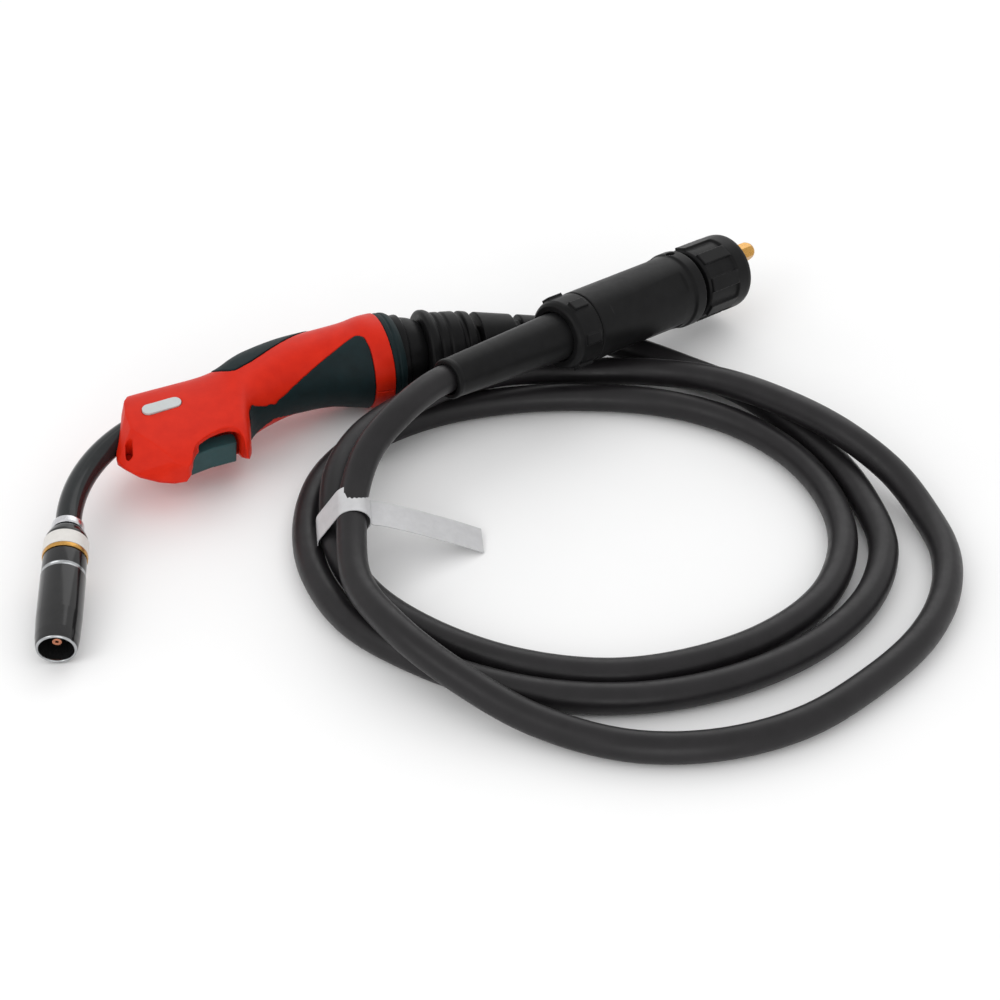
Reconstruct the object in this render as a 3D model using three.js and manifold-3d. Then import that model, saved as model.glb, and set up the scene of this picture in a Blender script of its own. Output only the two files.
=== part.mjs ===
// MIG welding torch: swan-neck gun, coaxial cable lying in loops, and euro plug.
// Millimetres, +Z up. The surface that the torch lies on is z = 0, and the origin is on it,
// below the middle of the gun's own box. +X is to the right and +Y away from the nozzle's side.
import * as THREE from 'three';
import { mergeVertices } from 'three/addons/utils/BufferGeometryUtils.js';
import Module from 'manifold-3d';

const wasm = await Module();
wasm.setup();

// ---------------------------------------------------------------- driving dimensions
const GAP = 0.3; // left between pieces that touch
const SHIFT = [4.9, 1.5, 0]; // puts the middle of the gun's own box over the origin
const CABLE_D = 17.5;
const SLEEVE_BORE = CABLE_D / 2 + 0.9;
const NOZZLE_R = 12.8;
const NECK_R = 7.5;
const RING_R = 29.5; // rear rim of the handle
const BALL_R = 23.5;
const BALL_X = 14; // ball centre behind the handle's rear face
const HOUSING_R = 23.5;
const NUT_R = 25;

// Gun frame: x runs to the rear along the grip from the handle's rear face, y to the spine,
// z out of the left flank. The gun lies on its right flank.
const GUN_POSITION = [75.6, 111.7, 29.8];
const GUN_TURN = { azimuth: 24, pitch: 1.95, roll: 9 };

// Plug frame: x runs along the plug from the mouth of its anti-kink sleeve to the hand nut.
const PLUG_POSITION = [120, 41.3, 62.9];
const PLUG_TURN = { azimuth: 43.3, pitch: 6.9 };

// Cable support: x runs from the ball's centre to the end of the sleeve.
const SUPPORT_TURN = { azimuth: 20, pitch: 5 };
const SUPPORT_LENGTH = 100;
const SUPPORT_OUTSIDE = [
  [13.3, 24.8], [15, 26.5], [18, 26.5], [21.5, 24.4], [42, 23.2], [50, 21.6], [70, 18.2], [82, 16.2],
  [98, 13.4], [SUPPORT_LENGTH, 12.4],
];
const SUPPORT_SLOTS = { core: 12, width: 5.6, at: [[30, 180], [46, 0], [60, 180], [75.5, 0], [88, 180]] };

// Middle line of the cable from the cable support to the plug's sleeve.
const CABLE_ROUTE = [
  [162, 144.2, 22.5], [182, 151.5, 20.7], [210, 157, 16], [240, 150.6, 10],
  [271, 131.4, 9.1], [304, 107, 9.1], [333, 72, 9.1], [354, 36, 9.1], [368, -4, 9.1], [374, -51, 9.1],
  [360, -95, 9.1], [330, -132, 9.1], [284, -162, 9.1], [234, -177, 9.1], [186, -177, 9.1],
  [144, -166, 9.1], [104, -145, 9.1], [69, -116, 9.1], [46, -73, 9.1], [39, -28, 9.1], [46, 16, 9.1],
  [69, 52, 9.1], [108, 80, 9.1], [155, 95, 9.1], [204, 99, 9.1], [254, 93, 9.1], [297, 73, 9.1],
  [329, 40, 9.1], [348, -3, 9.1], [351, -48, 9.1], [335, -93, 9.1], [301, -128, 9.1], [258, -150, 9.1],
  [212, -159, 9.1], [162, -151, 9.1], [116, -128, 9.1], [80, -95, 9.1], [61.5, -66, 14.6], [55.3, -33, 22],
  [57, -1, 28], [69, 30, 29.8], [91, 60, 28.5], [119, 85, 28], [157, 108.5, 22], [202, 123, 12.5],
  [247, 119.5, 14.5], [288, 99.5, 22], [326, 69, 27], [360, 36, 27], [387, 9, 18], [402, -20, 10.5],
  [409, -56, 9.1], [403, -93, 9.1], [385, -129, 9.1], [355, -163, 9.1], [312, -197, 9.1],
  [264, -214, 9.1], [217, -214, 9.3], [170, -198, 12.4], [132, -176, 20.8], [98, -146, 27.6], [73, -104, 28],
  [67.8, -66, 33.4], [68.6, -37, 41], [76.2, -12.6, 51.8], [92, 8.6, 60.8], [113.5, 35.2, 64],
  [134.5, 54.9, 60.5],
];

// ------------------------------------------- handle
// Stations along the handle: x, top y, bottom y, half width, squareness of the section.
const HANDLE_STATIONS = [
  [2, 29.5, -29.5, 29.5, 2],
  [-9, 29.3, -29.3, 29.3, 2],
  [-20, 28, -26.5, 26.8, 2],
  [-38, 27.5, -21.8, 24.2, 2],
  [-62, 26, -22, 23, 2.1],
  [-85, 20, -28, 22.3, 2.4],
  [-96, 14.6, -34.5, 21.6, 2.8],
  [-101, 12.8, -47, 21, 2.8],
  [-106, 11.4, -62, 20.3, 2.8],
  [-118, 9.4, -74, 19.2, 2.9],
  [-136, 8.4, -78, 18.2, 3],
  [-160, 6.5, -76, 17.4, 3.2],
  [-192, 3, -74, 16.5, 3.2],
];
// Side view of the head: it trims the front face, the chin, the trigger's arch and the rear prong.
const HEAD_OUTLINE = [
  [12, 40], [-100, 40], [-150, 14], [-157, 8], [-162.5, 3.5], [-166, -3], [-169.5, -8], [-173, -18],
  [-182, -34], [-182, -42], [-174, -54], [-163, -63], [-155, -67], [-147, -69], [-143.5, -66], [-141.5, -60],
  [-137.5, -54.5], [-128.5, -50], [-121, -48.2], [-114.5, -48.2], [-110, -52], [-109, -58], [-110.5, -64],
  [-109, -66], [-106, -64], [-103.5, -58], [-100.5, -49], [-97, -39], [-80, -45], [12, -45],
];
// The front of the head narrows like a bow, in flat faces between these lines: middle, ridge, outer.
const BOW_LINES = [
  {
    z: 2,
    line: [
      [-161, 14], [-165, 2], [-169.5, -6], [-173.5, -16], [-178, -26], [-181, -35], [-181.5, -40],
      [-179.5, -46], [-175, -52.5], [-169, -58], [-163, -62], [-156, -65.5], [-150, -67.5],
    ],
  },
  {
    z: 17,
    line: [[-159, 14], [-164.8, -4.4], [-168.6, -25], [-161, -38.2], [-152.9, -51.5], [-142.4, -69.8]],
  },
  {
    z: 26,
    line: [[-157, 14], [-162, -3.4], [-163.6, -24.4], [-149, -36], [-140.3, -51.2], [-137.8, -71.5]],
  },
  { z: 45, line: [[20, 45], [20, -80], [-100, 45], [-110, -75]] },
];
// The right side of the head is cut back along this slope, below this line.
const UNDERCUT = [
  [-200, -38.6], [-183, -38.6], [-179, -46], [-172.7, -55], [-162.8, -62.5], [-154.8, -66], [-147.6, -66.6],
  [-143.5, -62], [-139, -57], [-136, -54], [-110.5, -54], [-109.7, -57.5], [-106.5, -60], [-103.5, -55],
  [-100, -48], [-99, -120], [-200, -120],
];
const UNDERCUT_SLOPE = { x: -0.285, y: -0.98 }; // for each millimetre of z
const UNDERCUT_TOP = 10;
const SLOT = { at: [-174.3, -39.4], angle: 255, half: 5.2, width: 4, floor: 0 }; // in the bow's left face
const SECTION_SIDES = 24;
const STATION_STEP = 5;
const FLANK = 40; // wider than the handle on either side

// Edges of the two rubber grips, seen from the side. Their open side is OPEN_EDGE from the middle line.
const OPEN_EDGE = 60;
const BELLY_GRIP_OUTLINE = [
  [-13, -60], [-13, -14], [-14, -6], [-18, -2.5], [-25, -4.5], [-42, -10.5], [-60, -17.5],
  [-78, -25], [-88, -27.8], [-95.5, -30], [-99, -36], [-100.5, -44], [-101, -60],
];
const SPINE_GRIP_OUTLINE = [
  [-36, 60], [-36, 25], [-46, 18.5], [-60, 11.5], [-85, -1], [-97, -5], [-101, -3], [-108, 5], [-110, 60],
];
const GRIP_DEPTH = 2.2;
const GRIP_PROUD = 0.4;

// Neck: where its tail is clamped, and its runs of [length, turn in degrees].
const TAIL_START = [-124, -9.8];
const TAIL_ANGLE = 183;
const NOZZLE_ANGLE = 250.3;
const NECK_RUNS = [[23, 0], [26, 25], [77, 42.3]];

// Front end: x runs along the nozzle from the end of the neck's bend.
const SEAT = { from: 29.3, flange: 32, groove: [41, 43], to: 50 };
const NOZZLE = { from: 32.3, band: 43.5, mouth: 98.5, bore: 9.6 };

// Inside the handle.
const WALL = 2.8;
const CUP_WALL = 1.8;
const LOCK = { r: 28.6, lip: 9 }; // the ring that holds the cup
const PIVOT = [-139.5, -43.5]; // trigger pivot
const PIVOT_R = 1.6;
const TRIGGER_HALF = 8;
const BAY_HALF = 14.5; // the trigger's bay behind the pivot
const TRIGGER_ROOM_TOP = -38.2;
const TRIGGER_OUTLINE = [
  [-144, -50], [-143, -41.5], [-139.5, -39.6], [-136, -42.4], [-112, -43.2], [-111.2, -46], [-111.6, -52],
  [-127, -52.5], [-143, -55.5],
];
const PLUNGER_X = [-120.6, -117.4];
const SCREWS = [[-30, 8, -21], [-80, -12, -18.5], [-103, -32, -15], [-158, -42, -12]]; // x, y, head's z
const SCREW = { r: 1.5, tip: 9, headR: 3, head: 2.4, boss: 4.4 };
const CLAMP = { x: [3, 17], r: 9.3 }; // round the neck's tail
const BADGE = { at: [-147.5, -18], angle: 5, half: 12.3, round: 4, z: [16.3, 18.7] };

// ------------------------------------------- plug
const SLEEVE_LENGTH = 97.5;
const COLLAR = { from: 92, to: 112 };
const HOUSING = { from: 112.3, throat: 193, flange: 196, screws: 200, to: 206 };
const NUT = { from: 211.5, shoulder: 222, band: 237, to: 251 };
const NUT_RIBS = 8;
const BODY = { from: 184, front: 240, r: 17.9, bore: 11.3 };
const BLOCK_R = 11;
const BLOCK_FROM = 150;
const FITTING_X = BODY.front + GAP;
// Places round the plug's axis: clock position counted from its y axis towards z, and radius.
const GUIDE = { clock: 90, r: 8, spigot: 4.6, hex: 6.3, from: 262, to: 274.5 };
const NIPPLE = { clock: 225, r: 6.6 };
const PINS = [{ clock: 30, r: 13.8 }, { clock: 170, r: 13.8 }];
const PIN_R = 1.9;
const HOUSING_SCREWS = [75, 255];

// ------------------------------------------- label
// The label is wrapped round two strands and stuck to itself, and its free end hangs down.
// Section: x to the right, y up, and the strip's width along z.
const LABEL = {
  at: [56.4, -48, 18.2], azimuth: 5.8, roll: 99, width: 19, thick: 0.8, room: 9.4, second: [10.8, 17.5],
  flag: [[20, 14.5], [26, 14.2], [48, 4], [70, -7], [86, -16]],
};

// ---------------------------------------------------------------- materials
const paint = (color, roughness, metalness = 0) =>
  new THREE.MeshStandardMaterial({ color, roughness, metalness });
const RED = paint(0xe02c1c, 0.42);
const GREEN_BLACK = paint(0x14282a, 0.7);
const TRIGGER_GREEN = paint(0x2f4a4a, 0.6);
const BLACK = paint(0x222222, 0.6);
const CABLE_BLACK = paint(0x2b292b, 0.55);
const LABEL_GREY = paint(0xb9b9b9, 0.5);
const CHROME = paint(0x50545a, 0.15, 1);
const STEEL = paint(0xb8b8bc, 0.3, 1);
const BRASS = paint(0xc8963c, 0.3, 1);
const COPPER = paint(0xb06a4a, 0.35, 1);
const WHITE = paint(0xe4e2de, 0.5);
const BADGE_GREY = paint(0xc8cccc, 0.3);

// ---------------------------------------------------------------- solids
const rad = THREE.MathUtils.degToRad;

function toSolid(geometry) {
  const bare = geometry.clone();
  bare.deleteAttribute('normal');
  bare.deleteAttribute('uv');
  const merged = mergeVertices(bare, 1e-4);
  return new wasm.Manifold(new wasm.Mesh({
    numProp: 3,
    vertProperties: merged.attributes.position.array,
    triVerts: new Uint32Array(merged.index.array),
  }));
}

function toGeometry(solid) {
  const made = solid.getMesh();
  const geometry = new THREE.BufferGeometry();
  geometry.setAttribute('position', new THREE.BufferAttribute(made.vertProperties, 3));
  geometry.setIndex(new THREE.BufferAttribute(made.triVerts, 1));
  return geometry;
}

function add(group, name, shape, material) {
  const geometry = shape.isBufferGeometry ? shape : toGeometry(shape);
  const mesh = new THREE.Mesh(geometry, material);
  mesh.name = name;
  group.add(mesh);
  return mesh;
}

// A turned piece about the x axis. Each profile point is [x, radius]: along the outside with
// rising x, then back along the bore if there is one.
function turned(profile, sides = 24) {
  const points = profile.map(([x, r]) => new THREE.Vector2(r, x));
  if (profile.every(([, r]) => r > 0)) points.push(points[0].clone());
  return new THREE.LatheGeometry(points, sides).rotateZ(-Math.PI / 2);
}

// A tube about x from x0 to x1, or a rod if it has no bore.
function tube(x0, x1, outer, bore = 0, sides = 24) {
  return turned([[x0, bore], [x0, outer], [x1, outer], [x1, bore]], sides);
}

function plate(outline, z0, z1, bevel = 0) {
  const shape = new THREE.Shape(outline.map(([x, y]) => new THREE.Vector2(x, y)));
  const geometry = new THREE.ExtrudeGeometry(shape, {
    depth: z1 - z0 - 2 * bevel,
    bevelEnabled: bevel > 0,
    bevelSize: bevel,
    bevelOffset: -bevel,
    bevelThickness: bevel,
    bevelSegments: 2,
  });
  return geometry.translate(0, 0, z0 + bevel);
}

function box(x0, x1, y0, y1, z0, z1) {
  const made = new THREE.BoxGeometry(x1 - x0, y1 - y0, z1 - z0);
  return made.translate((x0 + x1) / 2, (y0 + y1) / 2, (z0 + z1) / 2);
}

const cut = (from, ...tools) =>
  tools.reduce((left, tool) => left.subtract(toSolid(tool)), toSolid(from));

// A closed skin over rings of points, all with the same number of points. Each ring turns from y
// to z, and the rings follow one another towards -x.
function loft(rings) {
  const sides = rings[0].length;
  const positions = rings.flat(2);
  const index = [];
  for (let r = 0; r < rings.length - 1; r++) {
    for (let i = 0; i < sides; i++) {
      const a = r * sides + i;
      const b = r * sides + ((i + 1) % sides);
      index.push(a, a + sides, b, b, a + sides, b + sides);
    }
  }
  const last = (rings.length - 1) * sides;
  for (let i = 1; i < sides - 1; i++) {
    index.push(0, i, i + 1);
    index.push(last, last + i + 1, last + i);
  }
  const geometry = new THREE.BufferGeometry();
  geometry.setAttribute('position', new THREE.Float32BufferAttribute(positions, 3));
  geometry.setIndex(index);
  return geometry;
}

// ---------------------------------------------------------------- handle skin and grips
// Smooth curves through the stations, one for each column after x.
function stationCurves() {
  return [1, 2, 3, 4].map((column) => (x) => {
    const n = HANDLE_STATIONS.length;
    let i = HANDLE_STATIONS.findIndex((row) => row[0] <= x);
    i = Math.min(Math.max(i, 1), n - 1);
    const at = (k) => HANDLE_STATIONS[Math.min(Math.max(k, 0), n - 1)];
    const slope = (k) => (at(k + 1)[column] - at(k - 1)[column]) / (at(k + 1)[0] - at(k - 1)[0]);
    const [from, to] = [at(i - 1), at(i)];
    const span = to[0] - from[0];
    const t = (x - from[0]) / span;
    const [t2, t3] = [t * t, t * t * t];
    return from[column] * (2 * t3 - 3 * t2 + 1) + to[column] * (3 * t2 - 2 * t3)
      + slope(i - 1) * span * (t3 - 2 * t2 + t) + slope(i) * span * (t3 - t2);
  });
}
const CURVES = stationCurves();

function superellipse(x, top, bottom, halfWidth, squareness) {
  const ring = [];
  const [middle, halfHeight] = [(top + bottom) / 2, (top - bottom) / 2];
  for (let i = 0; i < SECTION_SIDES; i++) {
    const a = (i / SECTION_SIDES) * 2 * Math.PI;
    const [c, s] = [Math.cos(a), Math.sin(a)];
    const bend = (v) => Math.sign(v) * Math.abs(v) ** (2 / squareness);
    ring.push([x, middle + halfHeight * bend(c), halfWidth * bend(s)]);
  }
  return ring;
}

// The handle's outer skin between two x, moved outwards by grow (or inwards if negative).
function handleSkin(fromX, toX, grow = 0) {
  const rings = [];
  const between = [];
  const first = Math.ceil(fromX / STATION_STEP - 1) * STATION_STEP;
  for (let x = first; x > toX; x -= STATION_STEP) between.push(x);
  for (const x of [fromX, ...between, toX]) {
    const [top, bottom, halfWidth, squareness] = CURVES.map((curve) => curve(x));
    rings.push(superellipse(x, top + grow, bottom - grow, halfWidth + grow, squareness));
  }
  return toSolid(loft(rings));
}

function gripPocket(outline) {
  return toSolid(plate(outline, -FLANK, FLANK)).subtract(handleSkin(0, -125, -GRIP_DEPTH - GAP));
}

// The pocket's region, drawn in from its edges by the gap, between the pocket's floor and the grip's face.
function grip(outline, towardsX, towardsY) {
  const [cx, cy] = [towardsX, towardsY];
  const drawn = outline.map(([x, y]) => [
    x + Math.sign(cx - x) * GAP,
    Math.abs(y) === OPEN_EDGE ? y : y + Math.sign(cy - y) * GAP,
  ]);
  const region = toSolid(plate(drawn, -FLANK, FLANK));
  const layer = handleSkin(1, -124, GRIP_PROUD).subtract(handleSkin(2, -125, -GRIP_DEPTH));
  return region.intersect(layer);
}

// ---------------------------------------------------------------- neck path
// A path in the gun's middle plane: a start point and heading, then runs of [length, turn in degrees].
class BentPath extends THREE.Curve {
  constructor([x, y], angle, runs) {
    super();
    this.start = new THREE.Vector3(x, y, 0);
    this.angle = angle;
    this.runs = runs;
    this.total = runs.reduce((sum, [length]) => sum + length, 0);
  }

  getPoint(t, target = new THREE.Vector3()) {
    let left = t * this.total;
    let angle = this.angle;
    target.copy(this.start);
    for (const [length, turn] of this.runs) {
      const run = Math.min(left, length);
      const turned = rad(turn) * (run / length);
      const chord = turned ? (2 * run * Math.sin(turned / 2)) / turned : run;
      const middle = rad(angle) + turned / 2;
      target.x += chord * Math.cos(middle);
      target.y += chord * Math.sin(middle);
      angle += THREE.MathUtils.radToDeg(turned);
      left -= run;
      if (left <= 0) break;
    }
    return target;
  }
}

const NECK_LENGTH = NECK_RUNS.reduce((sum, [length]) => sum + length, 0);
const neckPath = (front) => new BentPath(TAIL_START, TAIL_ANGLE, [...NECK_RUNS, [front, 0]]);
const NECK_END = neckPath(1).getPoint(NECK_LENGTH / (NECK_LENGTH + 1)).toArray().slice(0, 2);

function ringShape(outer, bore, sides) {
  const circle = (r) => Array.from({ length: sides }, (_, i) => {
    const a = (i / sides) * 2 * Math.PI;
    return new THREE.Vector2(r * Math.cos(a), r * Math.sin(a));
  });
  const shape = new THREE.Shape(circle(outer));
  if (bore) shape.holes.push(new THREE.Path(circle(bore)));
  return shape;
}

const swept = (path, outer, bore, steps, sides) =>
  new THREE.ExtrudeGeometry(ringShape(outer, bore, sides), { steps, extrudePath: path });

// ---------------------------------------------------------------- placing
function place(parent, position, { azimuth = 0, pitch = 0, roll = 0 }) {
  const group = new THREE.Group();
  group.position.set(...position);
  group.rotation.set(rad(roll), rad(pitch), rad(azimuth), 'ZYX');
  parent.add(group);
  return group;
}

// ---------------------------------------------------------------- handle
function acrossAt([x, y], geometry) {
  return geometry.rotateY(-Math.PI / 2).translate(x, y, 0);
}

// A screw across the two shells: its head is in the right flank.
function screwShape(headZ, grow, headRoom = 0) {
  const [r, headR] = [SCREW.r + grow, SCREW.headR + grow];
  const top = headZ - headRoom;
  const neck = headZ + SCREW.head + grow;
  const tip = SCREW.tip + grow;
  return turned([[top, 0], [top, headR], [neck, headR], [neck, r], [tip, r], [tip, 0]], 12);
}

function badgeShape(grow, z0, z1) {
  const round = BADGE.round + grow;
  const reach = BADGE.half - BADGE.round;
  const outline = new THREE.Shape();
  outline.absarc(reach, 0, round, -Math.PI / 2, Math.PI / 2);
  outline.absarc(-reach, 0, round, Math.PI / 2, (3 * Math.PI) / 2);
  const made = new THREE.ExtrudeGeometry(outline, { depth: z1 - z0, bevelEnabled: false, curveSegments: 6 });
  return made.translate(0, 0, z0).rotateZ(rad(BADGE.angle)).translate(...BADGE.at, 0);
}

function clampRoom() {
  const room = tube(...CLAMP.x.map((x, i) => x + (i ? GAP : -GAP)), CLAMP.r + GAP, 0, 16);
  return room.rotateZ(rad(TAIL_ANGLE)).translate(...TAIL_START, 0);
}

function headBow() {
  const points = BOW_LINES.flatMap(({ z, line }) => line.flatMap(([x, y]) => [[x, y, z], [x, y, -z]]));
  return wasm.Manifold.hull(points);
}

function undercut() {
  const slope = new THREE.Matrix4();
  slope.set(1, 0, UNDERCUT_SLOPE.x, 0, 0, 1, UNDERCUT_SLOPE.y, 0, 0, 0, 1, 0, 0, 0, 0, 1);
  return plate(UNDERCUT, -FLANK, UNDERCUT_TOP).applyMatrix4(slope);
}

function frontSlot() {
  const made = box(-SLOT.half, SLOT.half, -SLOT.width / 2, SLOT.width / 2, SLOT.floor, FLANK);
  return made.rotateZ(rad(SLOT.angle)).translate(...SLOT.at, 0);
}

function handleBody() {
  const outline = toSolid(plate(HEAD_OUTLINE, -FLANK, FLANK));
  const skin = handleSkin(0, -191).intersect(outline).intersect(headBow());
  const bosses = SCREWS.map(([x, y]) => acrossAt([x, y], tube(-FLANK, FLANK, SCREW.boss, 0, 12)));
  let cavity = handleSkin(-6, -150, -WALL - GRIP_DEPTH)
    .subtract(toSolid(box(-151, -98, -90, TRIGGER_ROOM_TOP + 3.6, -FLANK, FLANK)));
  for (const boss of bosses) cavity = cavity.subtract(toSolid(boss));
  const half = TRIGGER_HALF + GAP;
  const rooms = [
    undercut(),
    frontSlot(),
    box(-144.5, -135.5, -80, TRIGGER_ROOM_TOP, -half, half),
    box(-136, -109.6, -80, TRIGGER_ROOM_TOP, -BAY_HALF, BAY_HALF),
    box(PLUNGER_X[0] - GAP, PLUNGER_X[1] + GAP, -40, -30, -2.3, 2.3),
    acrossAt(PIVOT, tube(-13, 13, PIVOT_R + GAP, 0, 12)),
    swept(neckPath(0.1), NECK_R + GAP, 0, 16, 16),
    clampRoom(),
    new THREE.SphereGeometry(BALL_R + CUP_WALL + 2 * GAP, 24, 16).translate(BALL_X, 0, 0),
    badgeShape(GAP, BADGE.z[0] - GAP, FLANK),
    ...SCREWS.map(([x, y, z]) => acrossAt([x, y], screwShape(z, GAP, 30))),
  ];
  return rooms.reduce((left, room) => left.subtract(toSolid(room)), skin.subtract(cavity))
    .subtract(gripPocket(BELLY_GRIP_OUTLINE)).subtract(gripPocket(SPINE_GRIP_OUTLINE));
}

function addHandle(gun) {
  const body = handleBody();
  add(gun, 'shell_left', body.intersect(toSolid(box(-200, 10, -90, 60, GAP / 2, FLANK))), RED);
  add(gun, 'shell_right', body.intersect(toSolid(box(-200, 10, -90, 60, -FLANK, -GAP / 2))), RED);
  add(gun, 'grip_belly', grip(BELLY_GRIP_OUTLINE, -50, -OPEN_EDGE), GREEN_BLACK);
  add(gun, 'grip_spine', grip(SPINE_GRIP_OUTLINE, -72, OPEN_EDGE), GREEN_BLACK);
  add(gun, 'badge_plate', badgeShape(0, ...BADGE.z), BADGE_GREY);
  SCREWS.forEach(([x, y, z], i) => {
    add(gun, `shell_screw_${i + 1}`, acrossAt([x, y], screwShape(z, 0)), STEEL);
  });
}

function addTrigger(gun) {
  const pinHole = acrossAt(PIVOT, tube(-20, 20, PIVOT_R + GAP, 0, 12));
  add(gun, 'trigger', cut(plate(TRIGGER_OUTLINE, -TRIGGER_HALF, TRIGGER_HALF, 0.8), pinHole), TRIGGER_GREEN);
  add(gun, 'trigger_pin', acrossAt(PIVOT, tube(-12.5, 12.5, PIVOT_R, 0, 12)), STEEL);
  add(gun, 'switch_plunger', box(...PLUNGER_X, -42.4, -33.8, -2, 2), WHITE);
  add(gun, 'microswitch', box(-128, -110, -31.2, -21.5, -3.2, 3.2), BLACK);
}

// ---------------------------------------------------------------- ball joint and cable support
function sphereArc(r, fromX, toX, steps) {
  return Array.from({ length: steps + 1 }, (_, i) => {
    const x = fromX + ((toX - fromX) * i) / steps;
    return [x, Math.sqrt(r * r - x * x)];
  });
}

function addBallJoint(gun, support) {
  const cupR = BALL_R + GAP + CUP_WALL;
  const cup = [...sphereArc(cupR, -21, 1, 6), ...sphereArc(BALL_R + GAP, 1, -20, 6)];
  add(support, 'ball_cup', turned(cup, 24), BLACK);
  const inner = sphereArc(cupR + GAP, LOCK.lip - BALL_X, GAP - BALL_X, 6).map(([x, r]) => [x + BALL_X, r]);
  const outside = [[GAP, LOCK.r], [LOCK.lip - 3, LOCK.r], [LOCK.lip, LOCK.r - 1.2]];
  add(gun, 'locking_ring', turned([...outside, ...inner], 32), GREEN_BLACK);
  const ball = [...sphereArc(BALL_R, -17, 13, 8), [13, SLEEVE_BORE], [-17, SLEEVE_BORE]];
  add(support, 'joint_ball', turned(ball, 24), BLACK);
}

function addCableSupport(support) {
  const bore = [[SUPPORT_LENGTH, SLEEVE_BORE], [SUPPORT_OUTSIDE[0][0], SLEEVE_BORE]];
  const sleeve = toSolid(turned([...SUPPORT_OUTSIDE, ...bore], 28));
  const slots = SUPPORT_SLOTS.at.map(([x, side]) => {
    const ring = toSolid(tube(x, x + SUPPORT_SLOTS.width, 30, SUPPORT_SLOTS.core));
    return ring.intersect(toSolid(box(0, 200, -40, 40, -4, 40).rotateX(rad(side))));
  });
  add(support, 'cable_support', slots.reduce((left, slot) => left.subtract(slot), sleeve), BLACK);
}

// ---------------------------------------------------------------- neck
function addNeck(gun) {
  add(gun, 'neck_tube', swept(neckPath(12), NECK_R, 6.2, 16, 16), CHROME);
  add(gun, 'neck_insulation', swept(neckPath(12), 5.8, 4.9, 14, 10), WHITE);
  add(gun, 'neck_current_tube', swept(neckPath(12), 4.5, 2.9, 14, 8), COPPER);
  add(gun, 'neck_liner', swept(neckPath(30), 2.1, 1.1, 14, 6), STEEL);
  const tail = place(gun, [...TAIL_START, 0], { azimuth: TAIL_ANGLE });
  add(tail, 'neck_clamp', tube(...CLAMP.x, CLAMP.r, NECK_R + GAP, 20), BRASS);
  add(tail, 'cable_lug', tube(-16, -GAP, 7.4, 3, 6), BRASS);
}

function addFrontEnd(gun) {
  const front = place(gun, [...NECK_END, 0], { azimuth: NOZZLE_ANGLE });
  const neckBore = NECK_R + GAP;
  add(front, 'neck_ring', turned([
    [5, neckBore], [5, 9.1], [6, 9.2], [9, 9.2], [10, 9.1], [10, neckBore],
  ]), STEEL);
  add(front, 'neck_collar', turned([
    [10.3, neckBore], [10.3, 8.6], [17, 12.2], [19.2, 12.2], [19.2, 9], [12.6, 9], [12.6, neckBore],
  ]), CHROME);
  add(front, 'insulator_ring', turned([
    [12.9, 6.6], [12.9, 8.7], [19.5, 8.7], [19.5, 13], [29, 13.1], [29, 6.6],
  ]), WHITE);
  add(front, 'nozzle_seat', turned([
    [SEAT.from, 6.6], [SEAT.from, 13], [SEAT.flange, 12.9], [SEAT.flange, 11], [SEAT.groove[0], 11],
    [SEAT.groove[0], 10.1], [SEAT.groove[1], 10.1], [SEAT.groove[1], 11], [SEAT.to - 1, 11], [SEAT.to, 10.2],
    [SEAT.to, 6.6],
  ]), BRASS);
  const wire = new THREE.TorusGeometry(10.75, 0.45, 6, 24).rotateY(Math.PI / 2).translate(42, 0, 0);
  add(front, 'nozzle_spring', wire, STEEL);
  add(front, 'tip_holder', turned([
    [32, 2.6], [32, 6.2], [50.3, 6.2], [50.3, 7.4], [53, 7.4], [53, 6.2], [66, 5.4], [66, 2.6],
  ], 24), BRASS);
  add(front, 'gas_diffuser', turned([[53.3, 6.6], [53.3, 9.2], [60, 9.2], [60, 6.6]], 24), WHITE);
  add(front, 'contact_tip', turned([
    [66.3, 0.9], [66.3, 4], [84, 4], [89, 2.9], [93, 2.7], [93, 0.9],
  ], 20), COPPER);
  const { from, band, mouth, bore } = NOZZLE;
  add(front, 'gas_nozzle', turned([
    [from, 11.5], [from, NOZZLE_R - 0.3], [band, NOZZLE_R - 0.3], [band + 0.6, NOZZLE_R - 0.8],
    [band + 1.8, NOZZLE_R - 0.8], [band + 2.4, NOZZLE_R], [mouth - 22, NOZZLE_R], [mouth - 8, NOZZLE_R - 0.5],
    [mouth - 1, NOZZLE_R - 1.3], [mouth, NOZZLE_R - 1.9], [mouth, bore], [SEAT.to + 4.5, bore + 0.2],
    [SEAT.to + 1.5, 11.5],
  ], 28), CHROME);
}

// ---------------------------------------------------------------- plug
const clockPoint = ({ clock, r }) => [0, r * Math.cos(rad(clock)), r * Math.sin(rad(clock))];
const offAxis = (place_, geometry) => geometry.translate(...clockPoint(place_));

// A screw that points at the axis from outside: x of its middle, clock position.
function radialScrew(x, clock, grow, room = 0) {
  const [r, headR] = [1.4 + grow, 2.6 + grow];
  const shape = turned([
    [12.5 - grow, 0], [12.5 - grow, r], [21 - grow, r], [21 - grow, headR], [23.2 + room, headR],
    [23.2 + room, 0],
  ], 12);
  return shape.rotateZ(Math.PI / 2).rotateX(rad(clock)).translate(x, 0, 0);
}

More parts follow.
